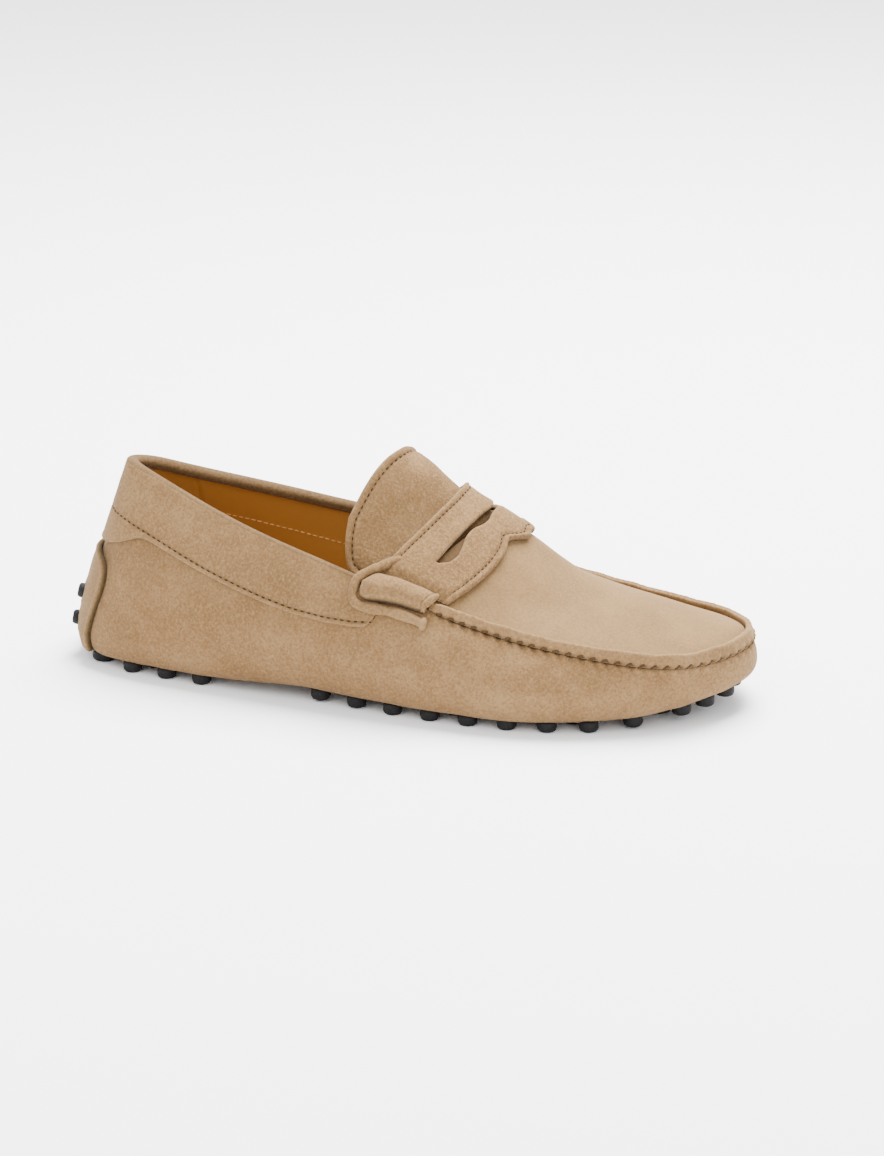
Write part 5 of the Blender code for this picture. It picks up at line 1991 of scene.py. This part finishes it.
    def _sole(self, spots: Array) -> None:
        """Suede bottom, which hangs a little over the rubber units and puckers round each pebble.

        Args:
            spots: Middles of the pebbles.
        """
        plan, height, edge = self._sheet(1.2, 264, 92)
        x = plan[..., 0]
        over_unit = 1 / (1 + np.exp((x - self.shank[0]) / 2)) + 1 / (1 + np.exp((self.shank[1] - x) / 2))
        near = nearest(np.column_stack([spots, np.zeros(len(spots))]), plan * (1, 1, 0))
        near = near - self.pebble_radius
        drop = self.plate * over_unit * np.clip((edge + 0.4) / 2.5, 0, 1)
        drop = drop + 0.3 * hump(near - 0.5, 0.7) * over_unit
        # Painted shade in the pucker round each pebble.
        marks = {"rim": np.zeros_like(x), "painted_shade": 0.5 * hump(near, 0.6) * over_unit}
        low, high = at_height(plan, height - drop), at_height(plan, height + self.sole_wall)
        self.keep(skin("sole_suede", low, high, SOLE_SUEDE, marks=marks), "sole")

    def _sock(self) -> None:
        """Tan leather sock on the sole."""
        plan, height, edge = self._sheet(self.sock_inset, 160, 40)
        height = height + self.sole_wall + GAP
        top = height + self.sock_wall + 0.12 * drift(plan, 40, 95) - 0.6 * round_over(edge, 1.2)
        piece = skin("sock_leather", at_height(plan, top), at_height(plan, height), SOCK)
        self.keep(piece, "insole", slot=Slot.LINING)


class SoftBox(NamedTuple):
    """A soft square light that looks at the shoe: its place and size in metres, its power."""

    place: tuple[float, float, float]
    size: float
    power: float


LIGHTS = {
    "key_softbox": SoftBox((-0.5, -0.9, 1.0), 0.9, 11.0),
    "top_softbox": SoftBox((0.1, 0.45, 1.25), 0.9, 108.0),
    "fill_softbox": SoftBox((0.9, -0.7, 0.55), 0.8, 5.0),
}


@dataclass
class Studio:
    """Pale floor, soft light and the camera at the photograph's angle."""

    azimuth: float = 16.0
    elevation: float = 19.5
    distance: float = 1500.0
    focus: tuple[float, float, float] = (142.0, 0.0, 35.0)
    shift_right: float = 8.5
    shift_up: float = 7.0
    focal_pixels: float = 3750.0
    frame_pixels: float = 1156.0
    sensor: float = 36.0
    world_colour: Colour = (0.95, 0.97, 1.0)
    world_strength: float = 1.85
    floor_colour: Colour = (0.93, 0.93, 0.93)
    floor_half: float = 6.0      # metres

    def build(self) -> None:
        """Make floor, light and camera."""
        self._floor()
        for name, box in LIGHTS.items():
            self._light(name, box)
        world = bpy.data.worlds.new("studio_world")
        world.use_nodes = True
        background = world.node_tree.nodes["Background"].inputs
        background["Color"].default_value = (*self.world_colour, 1.0)
        background["Strength"].default_value = self.world_strength
        bpy.context.scene.world = world
        self._camera()

    def _floor(self) -> None:
        """A plain floor that reads as white."""
        mesh = bpy.data.meshes.new("studio_floor")
        half = self.floor_half
        mesh.from_pydata([(-half, -half, 0), (half, -half, 0), (half, half, 0), (-half, half, 0)], [],
                         [(0, 1, 2, 3)])
        material = bpy.data.materials.new("studio_floor")
        material.use_nodes = True
        shader = material.node_tree.nodes["Principled BSDF"].inputs
        shader["Base Color"].default_value = (*self.floor_colour, 1.0)
        shader["Roughness"].default_value = 0.9
        shader["Specular IOR Level"].default_value = 0.1
        mesh.materials.append(material)
        floor = bpy.data.objects.new("studio_floor", mesh)
        bpy.context.scene.collection.objects.link(floor)

    def _light(self, name: str, box: SoftBox) -> None:
        """Set up one light.

        Args:
            name: Its name.
            box: Its measures.
        """
        lamp = bpy.data.lights.new(name, "AREA")
        lamp.shape = "SQUARE"
        lamp.size = box.size
        lamp.energy = box.power
        made = bpy.data.objects.new(name, lamp)
        made.location = box.place
        made.rotation_mode = "QUATERNION"
        made.rotation_quaternion = (-Vector(box.place)).to_track_quat("-Z", "Y")
        bpy.context.scene.collection.objects.link(made)

    def _camera(self) -> None:
        """The camera, with the photograph's frame."""
        turn, tilt = radians(self.azimuth), radians(self.elevation)
        right = np.array((cos(turn), sin(turn), 0.0))
        up = np.array((-sin(turn) * sin(tilt), cos(turn) * sin(tilt), cos(tilt)))
        forward = np.array((-sin(turn) * cos(tilt), cos(turn) * cos(tilt), -sin(tilt)))
        place = np.array(self.focus) - BOX_MIDDLE - forward * self.distance
        place = place + right * self.shift_right + up * self.shift_up
        lens = bpy.data.cameras.new("camera")
        lens.sensor_width = self.sensor
        lens.lens = self.focal_pixels * self.sensor / self.frame_pixels
        lens.clip_start, lens.clip_end = 0.05, 20.0
        camera = bpy.data.objects.new("camera", lens)
        turn_matrix = Matrix((right, up, -forward)).transposed().to_4x4()
        turn_matrix.translation = Vector(place * MM)
        camera.matrix_world = turn_matrix
        bpy.context.scene.collection.objects.link(camera)
        bpy.context.scene.camera = camera


def main() -> None:
    """Dress the shoe and set up the studio."""
    logging.basicConfig(level=logging.INFO, format="%(message)s")
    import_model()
    seam = Seam()
    parts: list[SubAssembly] = [
        Upper(seam), ApronSeam(seam), Tongue(), PennyStrap(),
        StrapRoll(Side.OUTER, "strap_roll_lateral"), StrapRoll(Side.INNER, "strap_roll_medial"),
        CollarBand(), HeelGuard(), Bottom(),
    ]
    for part in parts:
        part.build()
        LOG.info("%s: %d pieces", type(part).__name__, len(part.pieces))
    Studio().build()


if __name__ == "__main__":
    main()
